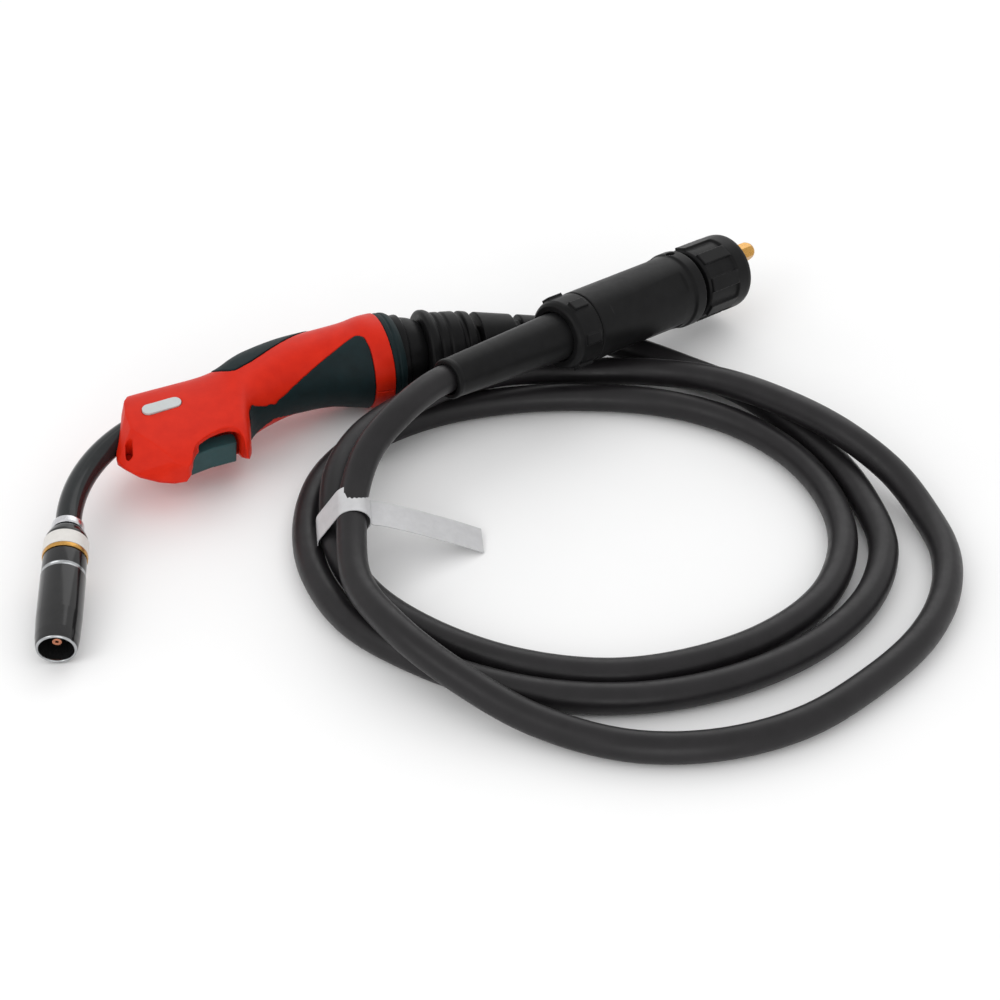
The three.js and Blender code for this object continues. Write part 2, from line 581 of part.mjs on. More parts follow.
function addPlugCasing(plug) {
  add(plug, 'plug_sleeve', turned([
    [0, SLEEVE_BORE], [0, 11.6], [1.5, 12.5], [4, 12.3], [86, 15.2], [SLEEVE_LENGTH, 15.4],
    [SLEEVE_LENGTH, 17.6], [103, 17.6], [103, SLEEVE_BORE],
  ], 28), BLACK);
  let collar = toSolid(turned([
    [COLLAR.from, 15.9], [COLLAR.from, 20.6], [95, 22.4], [COLLAR.to, 22.6], [COLLAR.to, 18], [97, 18],
    [97, 15.9],
  ], 32));
  for (let k = 0; k < 6; k++) {
    const lug = box(97, 109, 20, 24.2, -3.5, 3.5).rotateX(rad(45 + 60 * k));
    collar = collar.add(toSolid(lug));
  }
  add(plug, 'plug_collar', collar, BLACK);
  const { from, throat, flange, screws, to } = HOUSING;
  const housing = turned([
    [from, 17], [from, HOUSING_R - 0.6], [flange - 8, HOUSING_R + 0.3], [flange, HOUSING_R + 0.3],
    [flange + 1.5, NUT_R], [to, NUT_R], [to, BODY.r + GAP], [throat, BODY.r + GAP], [throat, 20.6],
    [115, 20.6], [115, 17],
  ], 28);
  const panel = (clock) => box(124, throat - 2, 22.7, 30, -9, 9).rotateX(rad(clock));
  const panels = [45, 135, 225, 315].map(panel);
  const screwRooms = HOUSING_SCREWS.map((clock) => radialScrew(screws, clock, GAP, 5));
  add(plug, 'plug_housing', cut(housing, ...panels, ...screwRooms), BLACK);
  HOUSING_SCREWS.forEach((clock, i) => {
    add(plug, `housing_screw_${i + 1}`, radialScrew(screws, clock, 0), STEEL);
  });
}

function addPlugBody(plug) {
  const body = cut(
    tube(BODY.from, BODY.front, BODY.r, BODY.bore, 28),
    ...PINS.map((at) => offAxis(at, tube(BODY.from + 20, BODY.front + 6, PIN_R + GAP, 0, 12))),
    ...HOUSING_SCREWS.map((clock) => radialScrew(HOUSING.screws, clock, GAP)),
  );
  add(plug, 'plug_body', body, BLACK);
  const block = cut(
    turned([[BLOCK_FROM, 0], [BLOCK_FROM, BLOCK_R], [BODY.front, BLOCK_R], [BODY.front, 0]], 24),
    offAxis(GUIDE, tube(BLOCK_FROM - 10, BODY.front + 6, 2.4, 0, 12)),
    offAxis(NIPPLE, tube(BLOCK_FROM - 10, BODY.front + 6, 1.5, 0, 12)),
  );
  add(plug, 'brass_block', block, BRASS);
}

function addPlugFittings(plug) {
  const { spigot, hex, from, to } = GUIDE;
  const nut = [
    [FITTING_X, 2.4], [FITTING_X, spigot], [from, spigot], [from, hex], [to - 2, hex], [to, hex - 1.4],
    [to, 2.4],
  ];
  add(plug, 'guide_nut', offAxis(GUIDE, turned(nut, 6)), BRASS);
  add(plug, 'liner_end', offAxis(GUIDE, tube(BLOCK_FROM - 4, to + 1.5, 2, 0.9, 12)), STEEL);
  const seal = FITTING_X + 4.7;
  const nipple = [
    [FITTING_X, 1.2], [FITTING_X, 3], [seal, 3], [seal, 2.4], [seal + 2, 2.4], [seal + 2, 3], [seal + 5, 2.6],
    [seal + 5, 1.2],
  ];
  add(plug, 'gas_nipple', offAxis(NIPPLE, turned(nipple, 20)), BRASS);
  const ring = new THREE.TorusGeometry(3.25, 0.55, 6, 16).rotateY(Math.PI / 2).translate(seal + 1, 0, 0);
  add(plug, 'gas_nipple_o_ring', offAxis(NIPPLE, ring), BLACK);
  const [heel, tip] = [BODY.from + 26, BODY.front + 7.5];
  PINS.forEach((at, i) => {
    const pin = turned([[heel, 0], [heel, PIN_R], [tip - 1, PIN_R], [tip, 1.1], [tip, 0]], 12);
    add(plug, `signal_pin_${i + 1}`, offAxis(at, pin), BRASS);
  });
}

function addHandNut(plug) {
  const { from, shoulder, band, to } = NUT;
  let nut = toSolid(turned([
    [from, BODY.r + GAP], [from, 22.4], [from + 1.5, 23.4], [band, 23.4], [band + 1, NUT_R], [to - 4, NUT_R],
    [to, 23.4], [to, 21.4], [shoulder, 21.4], [shoulder, BODY.r + GAP],
  ], 28));
  for (let k = 0; k < NUT_RIBS; k++) {
    const clock = 22 + (360 / NUT_RIBS) * k;
    const rib = box(from + 1.5, band + 0.5, 22.4, NUT_R - 0.1, -4.6, 4.6).rotateX(rad(clock));
    nut = nut.add(toSolid(rib));
  }
  add(plug, 'hand_nut', nut, BLACK);
  add(plug, 'nut_circlip', tube(shoulder + 0.4, shoulder + 1.6, 20.8, BODY.r + GAP, 24), STEEL);
}

// ---------------------------------------------------------------- cable and label
const CABLE_PATH = new THREE.CatmullRomCurve3(CABLE_ROUTE.map((p) => new THREE.Vector3(...p)));
const cableShape = (grow) => swept(CABLE_PATH, CABLE_D / 2 + grow, 0, 80, 10);

function addLabel(root) {
  const { second: [x2, y2], room, thick, flag, width } = LABEL;
  const tilt = Math.atan2(y2, x2);
  const loop = (r) => {
    const path = new THREE.Shape();
    path.absarc(x2, y2, r, tilt - Math.PI / 2, tilt + Math.PI / 2);
    path.absarc(0, 0, r, tilt + Math.PI / 2, tilt + (3 * Math.PI) / 2);
    return path;
  };
  const extrude = (shape) => {
    const made = new THREE.ExtrudeGeometry(shape, { depth: width, bevelEnabled: false, curveSegments: 8 });
    return toSolid(made.translate(0, 0, -width / 2));
  };
  const ring = loop(room + thick);
  ring.holes.push(loop(room));
  const lower = flag.map(([x, y]) => [x, y - thick]).reverse();
  const strip = new THREE.Shape([...flag, ...lower].map(([x, y]) => new THREE.Vector2(x, y)));
  const made = extrude(ring).add(extrude(strip).subtract(extrude(loop(room))));
  const placed = made.rotate([LABEL.roll, 0, LABEL.azimuth]).translate(LABEL.at);
  add(root, 'label', placed.subtract(toSolid(cableShape(GAP))), LABEL_GREY);
}

// ---------------------------------------------------------------- the torch
const torch = new THREE.Group();
const gun = place(torch, GUN_POSITION, GUN_TURN);
addHandle(gun);
addTrigger(gun);
addNeck(gun);
addFrontEnd(gun);
torch.updateMatrixWorld(true);
const ballCentre = gun.localToWorld(new THREE.Vector3(BALL_X, 0, 0)).toArray();
const support = place(torch, ballCentre, SUPPORT_TURN);
addBallJoint(gun, support);
addCableSupport(support);
add(torch, 'cable', cableShape(0), CABLE_BLACK);
addLabel(torch);
const plug = place(torch, PLUG_POSITION, PLUG_TURN);
addPlugCasing(plug);
addPlugBody(plug);
addPlugFittings(plug);
addHandNut(plug);
torch.position.set(...SHIFT);
const root = new THREE.Group();
root.add(torch);

export default root;
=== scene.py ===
import math

import bpy
import bmesh
from mathutils import Matrix, Vector


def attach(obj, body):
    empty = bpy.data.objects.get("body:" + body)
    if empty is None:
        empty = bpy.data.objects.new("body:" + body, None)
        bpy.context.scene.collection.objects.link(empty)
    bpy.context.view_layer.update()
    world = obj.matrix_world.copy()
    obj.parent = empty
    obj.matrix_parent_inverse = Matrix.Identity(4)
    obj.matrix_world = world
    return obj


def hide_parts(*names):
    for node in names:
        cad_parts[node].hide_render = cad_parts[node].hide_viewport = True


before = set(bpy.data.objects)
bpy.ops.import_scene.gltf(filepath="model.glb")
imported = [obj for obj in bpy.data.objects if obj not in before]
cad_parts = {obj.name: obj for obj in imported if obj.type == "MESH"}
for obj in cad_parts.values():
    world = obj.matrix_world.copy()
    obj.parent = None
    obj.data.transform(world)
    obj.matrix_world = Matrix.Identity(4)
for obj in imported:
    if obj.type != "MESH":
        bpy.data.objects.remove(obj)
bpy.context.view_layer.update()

MM = 0.001

# ---------------------------------------------------------------- places, as in the CAD (mm, degrees)
CABLE_D = 17.5
SHIFT = (4.9, 1.5, 0)  # puts the middle of the gun's own box over the origin
CLEARANCE = 0.3  # between pieces that touch
GUN_POSITION = (75.6, 111.7, 29.8)
GUN_TURN = (24, 1.95, 9)  # azimuth, pitch, roll
PLUG_POSITION = (120, 41.3, 62.9)
PLUG_TURN = (43.3, 6.9, 0)
SUPPORT_TURN = (20, 5, 0)
SUPPORT_LENGTH = 100
BALL_X = 14
LABEL_POSITION = (56.4, -48, 18.2)
LABEL_TURN = (5.8, 0, 99)
CABLE_ROUTE = [
    (162, 144.2, 22.5), (182, 151.5, 20.7), (210, 157, 16), (240, 150.6, 10),
    (271, 131.4, 9.1), (304, 107, 9.1), (333, 72, 9.1), (354, 36, 9.1), (368, -4, 9.1), (374, -51, 9.1),
    (360, -95, 9.1), (330, -132, 9.1), (284, -162, 9.1), (234, -177, 9.1), (186, -177, 9.1),
    (144, -166, 9.1), (104, -145, 9.1), (69, -116, 9.1), (46, -73, 9.1), (39, -28, 9.1), (46, 16, 9.1),
    (69, 52, 9.1), (108, 80, 9.1), (155, 95, 9.1), (204, 99, 9.1), (254, 93, 9.1), (297, 73, 9.1),
    (329, 40, 9.1), (348, -3, 9.1), (351, -48, 9.1), (335, -93, 9.1), (301, -128, 9.1), (258, -150, 9.1),
    (212, -159, 9.1), (162, -151, 9.1), (116, -128, 9.1), (80, -95, 9.1), (61.5, -66, 14.6),
    (55.3, -33, 22), (57, -1, 28), (69, 30, 29.8), (91, 60, 28.5), (119, 85, 28), (157, 108.5, 22),
    (202, 123, 12.5), (247, 119.5, 14.5), (288, 99.5, 22), (326, 69, 27), (360, 36, 27), (387, 9, 18),
    (402, -20, 10.5), (409, -56, 9.1), (403, -93, 9.1), (385, -129, 9.1), (355, -163, 9.1),
    (312, -197, 9.1), (264, -214, 9.1), (217, -214, 9.3), (170, -198, 12.4), (132, -176, 20.8),
    (98, -146, 27.6), (73, -104, 28), (67.8, -66, 33.4), (68.6, -37, 41), (76.2, -12.6, 51.8),
    (92, 8.6, 60.8), (113.5, 35.2, 64), (134.5, 54.9, 60.5),
]

# ---------------------------------------------------------------- camera, floor and light
CAMERA_PLACE = (0.1569, -1.04253, 0.81974)
CAMERA_ELEVATION = 38
CAMERA_LENS = 79.67
WORLD_STRENGTH = 0.92
LIGHTS = [  # name, place, aimed at, size, power
    ("key", (-0.9, -0.9, 1.1), (0.1, 0.0, 0.0), 0.9, 4),
    ("front", (0.3, -1.7, 0.45), (0.1, 0.0, 0.0), 0.9, 5),
    ("back", (0.5, 1.5, 1.1), (0.1, 0.0, 0.0), 1.4, 6),
]


def make_camera():
    data = bpy.data.cameras.new("camera")
    data.lens = CAMERA_LENS
    data.sensor_width = 36
    camera = bpy.data.objects.new("camera", data)
    camera.location = CAMERA_PLACE
    camera.rotation_euler = (math.radians(90 - CAMERA_ELEVATION), 0, 0)
    bpy.context.scene.collection.objects.link(camera)
    bpy.context.scene.camera = camera


def make_light(name, place, target, size, power):
    data = bpy.data.lights.new(name, "AREA")
    data.shape = "SQUARE"
    data.size = size
    data.energy = power
    light = bpy.data.objects.new(name, data)
    light.location = place
    light.rotation_euler = (Vector(target) - Vector(place)).to_track_quat("-Z", "Y").to_euler()
    bpy.context.scene.collection.objects.link(light)


def make_world():
    world = bpy.data.worlds.new("studio")
    bpy.context.scene.world = world
    world.use_nodes = True
    background = world.node_tree.nodes["Background"]
    background.inputs["Color"].default_value = (1, 1, 1, 1)
    background.inputs["Strength"].default_value = WORLD_STRENGTH
    bpy.context.scene.view_settings.view_transform = "Standard"


# ---------------------------------------------------------------- materials
def link_texture(tree, kind, scale, **settings):
    """A texture node read in the object's frame, with its scale in features per metre."""
    coordinates = tree.nodes.get("Texture Coordinate") or tree.nodes.new("ShaderNodeTexCoord")
    texture = tree.nodes.new(kind)
    texture.inputs["Scale"].default_value = scale
    for name, value in settings.items():
        texture.inputs[name.replace("_", " ")].default_value = value
    tree.links.new(coordinates.outputs["Object"], texture.inputs["Vector"])
    return texture


def value_range(tree, source, low, high):
    """The noise's usual span, 0.3 to 0.7, stretched over low to high."""
    node = tree.nodes.new("ShaderNodeMapRange")
    node.inputs["From Min"].default_value = 0.3
    node.inputs["From Max"].default_value = 0.7
    node.inputs["To Min"].default_value = low
    node.inputs["To Max"].default_value = high
    tree.links.new(source, node.inputs["Value"])
    return node.outputs["Result"]


def shade(color, factor):
    return tuple(min(1.0, c * factor) for c in color) + (1,)


def finish(name, color, rough, *, metal=0.0, mottle=0.1, mottle_mm=9.0, grain_mm=0.5, grain=0.02,
           rough_spread=0.06, coat=0.0, sheen=0.0, specular=0.5, tint=None):
    """A moulded or metal finish: patchy tone, grain in relief and uneven gloss."""
    made = bpy.data.materials.new(name)
    made.use_nodes = True
    tree = made.node_tree
    shader = tree.nodes["Principled BSDF"]
    shader.inputs["Metallic"].default_value = metal
    shader.inputs["Coat Weight"].default_value = coat
    shader.inputs["Coat Roughness"].default_value = 0.15
    shader.inputs["Sheen Weight"].default_value = sheen
    shader.inputs["Specular IOR Level"].default_value = specular
    patches = link_texture(tree, "ShaderNodeTexNoise", 1000 / mottle_mm, Detail=6, Roughness=0.6)
    tone = tree.nodes.new("ShaderNodeMix")
    tone.data_type = "RGBA"
    tone.inputs["A"].default_value = shade(color, 1 - mottle)
    tone.inputs["B"].default_value = shade(tint or color, 1 + mottle)
    tree.links.new(value_range(tree, patches.outputs["Fac"], 0, 1), tone.inputs["Factor"])
    tree.links.new(tone.outputs["Result"], shader.inputs["Base Color"])
    smears = link_texture(tree, "ShaderNodeTexNoise", 2300 / mottle_mm, Detail=8, Roughness=0.7)
    smoothest = max(0.02, rough - rough_spread)
    gloss = value_range(tree, smears.outputs["Fac"], smoothest, rough + rough_spread)
    tree.links.new(gloss, shader.inputs["Roughness"])
    if grain:
        relief = link_texture(tree, "ShaderNodeTexNoise", 1000 / grain_mm, Detail=3, Roughness=0.5)
        bump = tree.nodes.new("ShaderNodeBump")
        bump.inputs["Strength"].default_value = 1.0
        bump.inputs["Distance"].default_value = grain * MM
        tree.links.new(relief.outputs["Fac"], bump.inputs["Height"])
        tree.links.new(bump.outputs["Normal"], shader.inputs["Normal"])
    return made


TURNED_PITCH = 0.35
TURNED_DEPTH = 0.006


def turned_finish(name, color, rough, matrix, *, metal=1.0, **settings):
    """A metal turned on a lathe: fine rings round the local x axis of a placed group."""
    made = finish(name, color, rough, metal=metal, grain=0, **settings)
    tree = made.node_tree
    shader = tree.nodes["Principled BSDF"]
    coordinates = tree.nodes["Texture Coordinate"]
    axis = (matrix.to_3x3() @ Vector((1, 0, 0))).normalized()
    along = tree.nodes.new("ShaderNodeVectorMath")
    along.operation = "DOT_PRODUCT"
    along.inputs[1].default_value = axis
    tree.links.new(coordinates.outputs["Object"], along.inputs[0])
    rings = tree.nodes.new("ShaderNodeTexNoise")
    rings.noise_dimensions = "1D"
    rings.inputs["Scale"].default_value = 1000 / TURNED_PITCH
    rings.inputs["Detail"].default_value = 2
    tree.links.new(along.outputs["Value"], rings.inputs["W"])
    bump = tree.nodes.new("ShaderNodeBump")
    bump.inputs["Strength"].default_value = 1.0
    bump.inputs["Distance"].default_value = TURNED_DEPTH * MM
    tree.links.new(rings.outputs["Fac"], bump.inputs["Height"])
    tree.links.new(bump.outputs["Normal"], shader.inputs["Normal"])
    return made


# ---------------------------------------------------------------- placing
def placed(position, turn, parent=Matrix.Identity(4)):
    """The matrix of a group in the part: turned by roll, then pitch, then azimuth."""
    azimuth, pitch, roll = (math.radians(a) for a in turn)
    level = Matrix.Rotation(azimuth, 4, "Z") @ Matrix.Rotation(pitch, 4, "Y")
    turned = level @ Matrix.Rotation(roll, 4, "X")
    return parent @ Matrix.Translation(position) @ turned


METRES = Matrix.Diagonal((MM, MM, MM, 1)) @ Matrix.Translation(SHIFT)
GUN = placed(GUN_POSITION, GUN_TURN)
SUPPORT = placed(GUN @ Vector((BALL_X, 0, 0)), SUPPORT_TURN)
PLUG = placed(PLUG_POSITION, PLUG_TURN)
LABEL = placed(LABEL_POSITION, LABEL_TURN)


def add_mesh(name, vertices, faces, place, smooth_angle=35):
    """A piece from points in mm in a placed group."""
    mesh = bpy.data.meshes.new(name)
    mesh.from_pydata([tuple(v) for v in vertices], [], faces)
    mesh.transform(METRES @ place)
    for polygon in mesh.polygons:
        polygon.use_smooth = True
    mesh.set_sharp_from_angle(angle=math.radians(smooth_angle))
    piece = bpy.data.objects.new(name, mesh)
    bpy.context.scene.collection.objects.link(piece)
    return piece


def settle(piece, material, body, nodes=()):
    piece.data.materials.clear()
    piece.data.materials.append(material)
    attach(piece, body)
    if nodes:
        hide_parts(*nodes)
    return piece


def paint_node(name, material):
    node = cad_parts[name]
    for slot in node.material_slots:
        slot.link = "OBJECT"
        slot.material = material


# ---------------------------------------------------------------- shapes
def rounded(profile, radius, closed=True):
    """The profile with each corner rounded."""
    points = [Vector(p) for p in profile]
    count = len(points)
    made = []
    for i, corner in enumerate(points):
        if not closed and i in (0, count - 1):
            made.append(corner)
            continue
        before = points[i - 1] - corner
        after = points[(i + 1) % count] - corner
        if before.length < 1e-6 or after.length < 1e-6:
            made.append(corner)
            continue
        reach = min(radius, before.length * 0.45, after.length * 0.45)
        start = corner + before.normalized() * reach
        end = corner + after.normalized() * reach
        for k in range(5):
            t = k / 4
            made.append((1 - t) ** 2 * start + 2 * t * (1 - t) * corner + t * t * end)
    return made


def lathe(name, profile, place, sides=96, radius=0.3, rod=False):
    """A piece turned about x. A closed profile, or one that starts and ends on the axis for a rod."""
    points = rounded(profile, radius, closed=not rod)
    vertices = []
    faces = []
    rows = len(points)
    for x, r in points:
        for k in range(sides):
            a = 2 * math.pi * k / sides
            vertices.append((x, max(r, 0.0) * math.cos(a), max(r, 0.0) * math.sin(a)))
    last = rows - 1 if rod else rows
    for row in range(last):
        here, there = row * sides, ((row + 1) % rows) * sides
        for k in range(sides):
            after = (k + 1) % sides
            faces.append((here + k, there + k, there + after, here + after))
    piece = add_mesh(name, vertices, faces, place)
    clean(piece)
    return piece


def clean(piece):
    """Merges points that coincide, and turns every face outwards."""
    made = bmesh.new()
    made.from_mesh(piece.data)
    bmesh.ops.remove_doubles(made, verts=made.verts, dist=1e-7)
    bmesh.ops.recalc_face_normals(made, faces=made.faces)
    made.to_mesh(piece.data)
    made.free()


def sweep(name, path, radius, sides):
    """A round rod along points in mm, capped at both ends."""
    points = [Vector(p) for p in path]
    vertices = []
    faces = []
    side = None
    for i, point in enumerate(points):
        ahead = (points[min(i + 1, len(points) - 1)] - points[max(i - 1, 0)]).normalized()
        side = side or ahead.orthogonal()
        side = (side - ahead * side.dot(ahead)).normalized()
        other = ahead.cross(side)
        for k in range(sides):
            a = 2 * math.pi * k / sides
            vertices.append(point + radius * (math.cos(a) * side + math.sin(a) * other))
    for row in range(len(points) - 1):
        for k in range(sides):
            a, b = row * sides + k, row * sides + (k + 1) % sides
            faces.append((a, b, b + sides, a + sides))
    faces.append(tuple(range(sides))[::-1])
    faces.append(tuple(range((len(points) - 1) * sides, len(points) * sides)))
    return add_mesh(name, vertices, faces, Matrix.Identity(4))


def prism(name, outline, low, high, place):
    """An outline in the group's xy plane, between two heights."""
    count = len(outline)
    vertices = [(x, y, low) for x, y in outline] + [(x, y, high) for x, y in outline]
    faces = [tuple(range(count))[::-1], tuple(range(count, 2 * count))]
    faces += [(k, (k + 1) % count, (k + 1) % count + count, k + count) for k in range(count)]
    piece = add_mesh(name, vertices, faces, place)
    clean(piece)
    return piece


def block(name, x0, x1, y0, y1, z0, z1, place):
    return prism(name, [(x0, y0), (x1, y0), (x1, y1), (x0, y1)], z0, z1, place)


def bake_modifiers(piece):
    """The piece's mesh as its modifiers leave it."""
    graph = bpy.context.evaluated_depsgraph_get()
    made = bpy.data.meshes.new_from_object(piece.evaluated_get(graph))
    old = piece.data
    piece.modifiers.clear()
    piece.data = made
    bpy.data.meshes.remove(old)


def combine(piece, operation, *tools):
    """DIFFERENCE, INTERSECT or UNION with each tool, which is then removed."""
    for tool in tools:
        step = piece.modifiers.new(operation, "BOOLEAN")
        step.operation = operation
        step.object = tool
        step.solver = "MANIFOLD"
    bake_modifiers(piece)
    for tool in tools:
        bpy.data.objects.remove(tool)
    return piece


def soften(piece, voxel_mm, rounds):
    """Rounds every edge a little, as moulding does: fine remesh, then smoothing."""
    remesh = piece.modifiers.new("remesh", "REMESH")
    remesh.mode = "VOXEL"
    remesh.voxel_size = voxel_mm * MM
    remesh.use_smooth_shade = True
    smooth = piece.modifiers.new("smooth", "SMOOTH")
    smooth.factor = 0.5
    smooth.iterations = rounds
    bake_modifiers(piece)
    for polygon in piece.data.polygons:
        polygon.use_smooth = True
    return piece


def spline(points, steps):
    """Points along a centripetal Catmull-Rom curve."""
    points = [Vector(p) for p in points]
    line = [2 * points[0] - points[1], *points, 2 * points[-1] - points[-2]]
    made = []
    for p0, p1, p2, p3 in zip(line, line[1:], line[2:], line[3:]):
        d0, d1, d2 = (math.sqrt((b - a).length) for a, b in ((p0, p1), (p1, p2), (p2, p3)))
        m1 = ((p1 - p0) / d0 - (p2 - p0) / (d0 + d1) + (p2 - p1) / d1) * d1
        m2 = ((p2 - p1) / d1 - (p3 - p1) / (d1 + d2) + (p3 - p2) / d2) * d1
        for k in range(steps):
            t = k / steps
            square = 3 * (p2 - p1) - 2 * m1 - m2
            cube = 2 * (p1 - p2) + m1 + m2
            made.append(p1 + m1 * t + square * t * t + cube * t**3)
    made.append(points[-1])
    return made


# ---------------------------------------------------------------- camera and cable first
make_camera()
make_world()
for light in LIGHTS:
    make_light(*light)

RED = finish("moulded_red", (0.57, 0.014, 0.003), 0.40, mottle=0.04, grain_mm=0.7, grain=0.010,
             tint=(0.60, 0.018, 0.004), specular=0.14)
GRIP = finish("grip_rubber", (0.002, 0.011, 0.013), 0.60, mottle=0.25, grain_mm=0.45, grain=0.035,
              sheen=0.02, specular=0.22)
TRIGGER = finish("trigger_plastic", (0.018, 0.058, 0.062), 0.45, mottle=0.12, grain_mm=0.5, grain=0.02,
                 specular=0.3)
BLACK = finish("black_plastic", (0.007, 0.007, 0.0073), 0.38, mottle=0.2, grain_mm=0.6, grain=0.02,
               specular=0.10)
CABLE = finish("cable_rubber", (0.011, 0.010, 0.011), 0.40, mottle=0.2, mottle_mm=14, grain_mm=0.9,
               grain=0.03, rough_spread=0.08, specular=0.28)
FILM = finish("label_film", (0.50, 0.50, 0.51), 0.35, mottle=0.06, mottle_mm=5, grain_mm=1.5, grain=0.02,
              coat=0.2)
BADGE = finish("badge_metal", (0.50, 0.53, 0.53), 0.35, mottle=0.05, mottle_mm=4, grain_mm=0.3,
               grain=0.003)
WHITE = finish("white_insulator", (0.66, 0.64, 0.61), 0.45, mottle=0.05, mottle_mm=3, grain_mm=0.4,
               grain=0.012)
STEEL = finish("bright_steel", (0.62, 0.62, 0.64), 0.25, metal=1.0, mottle=0.1, mottle_mm=2, grain_mm=0.3,
               grain=0.006)
BRASS = finish("turned_brass", (0.55, 0.30, 0.08), 0.28, metal=1.0, mottle=0.14, mottle_mm=2,
               grain_mm=0.25, grain=0.006)
COPPER = finish("copper", (0.60, 0.24, 0.14), 0.30, metal=1.0, mottle=0.15, mottle_mm=2, grain_mm=0.25,
                grain=0.006)
NECK_CHROME = finish("neck_chrome", (0.013, 0.015, 0.016), 0.12, mottle=0.15, mottle_mm=6,
                     rough_spread=0.04, grain_mm=0.5, grain=0.002, specular=0.3)

cable_route = [METRES @ Vector(p) for p in spline(CABLE_ROUTE, 12)]


def make_cable():
    data = bpy.data.curves.new("cable_jacket", "CURVE")
    data.dimensions = "3D"
    data.bevel_depth = CABLE_D / 2 * MM
    data.bevel_resolution = 8
    data.use_fill_caps = True
    line = data.splines.new("POLY")
    line.points.add(len(cable_route) - 1)
    for point, place in zip(line.points, cable_route):
        point.co = (*place, 1)
    line.use_smooth = True
    piece = bpy.data.objects.new("cable_jacket", data)
    bpy.context.scene.collection.objects.link(piece)
    return settle(piece, CABLE, "cable_and_plug", ["cable"])


cable = make_cable()

# ---------------------------------------------------------------- handle
HANDLE_STATIONS = [  # x, top y, bottom y, half width, squareness of the section
    (2, 29.5, -29.5, 29.5, 2), (-9, 29.3, -29.3, 29.3, 2), (-20, 28, -26.5, 26.8, 2),
    (-38, 27.5, -21.8, 24.2, 2), (-62, 26, -22, 23, 2.1), (-85, 20, -28, 22.3, 2.4),
    (-96, 14.6, -34.5, 21.6, 2.8), (-101, 12.8, -47, 21, 2.8), (-106, 11.4, -62, 20.3, 2.8),
    (-118, 9.4, -74, 19.2, 2.9), (-136, 8.4, -78, 18.2, 3), (-160, 6.5, -76, 17.4, 3.2),
    (-192, 3, -74, 16.5, 3.2),
]
HEAD_OUTLINE = [
    (12, 40), (-100, 40), (-150, 14), (-157, 8), (-162.5, 3.5), (-166, -3), (-169.5, -8), (-173, -18),
    (-182, -34), (-182, -42), (-174, -54), (-163, -63), (-155, -67), (-147, -69), (-143.5, -66),
    (-141.5, -60), (-137.5, -54.5), (-128.5, -50), (-121, -48.2), (-114.5, -48.2), (-110, -52),
    (-109, -58), (-110.5, -64), (-109, -66), (-106, -64), (-103.5, -58), (-100.5, -49), (-97, -39),
    (-80, -45), (12, -45),
]
BOW_LINES = [  # the head's front narrows in flat faces between these lines: half width, line
    (2, [(-161, 14), (-165, 2), (-169.5, -6), (-173.5, -16), (-178, -26), (-181, -35), (-181.5, -40),
         (-179.5, -46), (-175, -52.5), (-169, -58), (-163, -62), (-156, -65.5), (-150, -67.5)]),
    (17, [(-159, 14), (-164.8, -4.4), (-168.6, -25), (-161, -38.2), (-152.9, -51.5), (-142.4, -69.8)]),
    (26, [(-157, 14), (-162, -3.4), (-163.6, -24.4), (-149, -36), (-140.3, -51.2), (-137.8, -71.5)]),
    (45, [(20, 45), (20, -80), (-100, 45), (-110, -75)]),
]
UNDERCUT = [  # the right side of the head is cut back below this line
    (-200, -38.6), (-183, -38.6), (-179, -46), (-172.7, -55), (-162.8, -62.5), (-154.8, -66),
    (-147.6, -66.6), (-143.5, -62), (-139, -57), (-136, -54), (-110.5, -54), (-109.7, -57.5),
    (-106.5, -60), (-103.5, -55), (-100, -48), (-99, -120), (-200, -120),
]
UNDERCUT_SLOPE = (-0.285, -0.98)  # x and y for each millimetre of z
UNDERCUT_TOP = 10
SLOT_AT = (-174.3, -39.4)  # the small slot in the bow's left face
SLOT_TURN = 255
SLOT_REACH = 3.2
SLOT_ROUND = 2
SLOT_FLOOR = 0
TRIGGER_ROOM_TOP = -38.2
BAY_HALF = 14.5  # the trigger's bay behind its pivot
SOLID_FRONT = (-151, -98, -90, -34.6)  # the shells have no cavity here
PLUNGER_SLOT = (-120.9, -117.1)
CLAMP_ROOM = [(2.7, 0), (2.7, 9.6), (17.3, 9.6), (17.3, 0)]
BALL_ROOM_R = 25.9
SCREW_BOSS_R = 4.4
SCREW_HEAD_ROOM_R = 3.3
SCREW_HOLE_R = 1.8
BELLY_GRIP_OUTLINE = [
    (-13, -60), (-13, -14), (-14, -6), (-18, -2.5), (-25, -4.5), (-42, -10.5), (-60, -17.5),
    (-78, -25), (-88, -27.8), (-95.5, -30), (-99, -36), (-100.5, -44), (-101, -60),
]
SPINE_GRIP_OUTLINE = [
    (-36, 60), (-36, 25), (-46, 18.5), (-60, 11.5), (-85, -1), (-97, -5), (-101, -3), (-108, 5),
    (-110, 60),
]
GRIP_DEPTH = 2.2
GRIP_PROUD = 0.5
WALL = 2.8
SEAM = 0.15  # half the line between the two shells
FLANK = 40
TAIL_START = (-124, -9.8)
TAIL_ANGLE = 183
NOZZLE_ANGLE = 250.3
NECK_RUNS = [(23, 0), (26, 25), (77, 42.3)]
NECK_R = 7.5
BALL_R = 23.5
PIVOT = (-139.5, -43.5)
TRIGGER_OUTLINE = [
    (-144, -50), (-143, -41.5), (-139.5, -39.6), (-136, -42.4), (-112, -43.2), (-111.2, -46),
    (-111.6, -52), (-127, -52.5), (-143, -55.5),
]
TRIGGER_HALF = 8
SCREWS = [(-30, 8, -21), (-80, -12, -18.5), (-103, -32, -15), (-158, -42, -12)]
BADGE_AT = (-147.5, -18)
BADGE_TURN = 5
BADGE_REACH = 8.3
BADGE_ROUND = 4
BADGE_FLOOR = 16.3


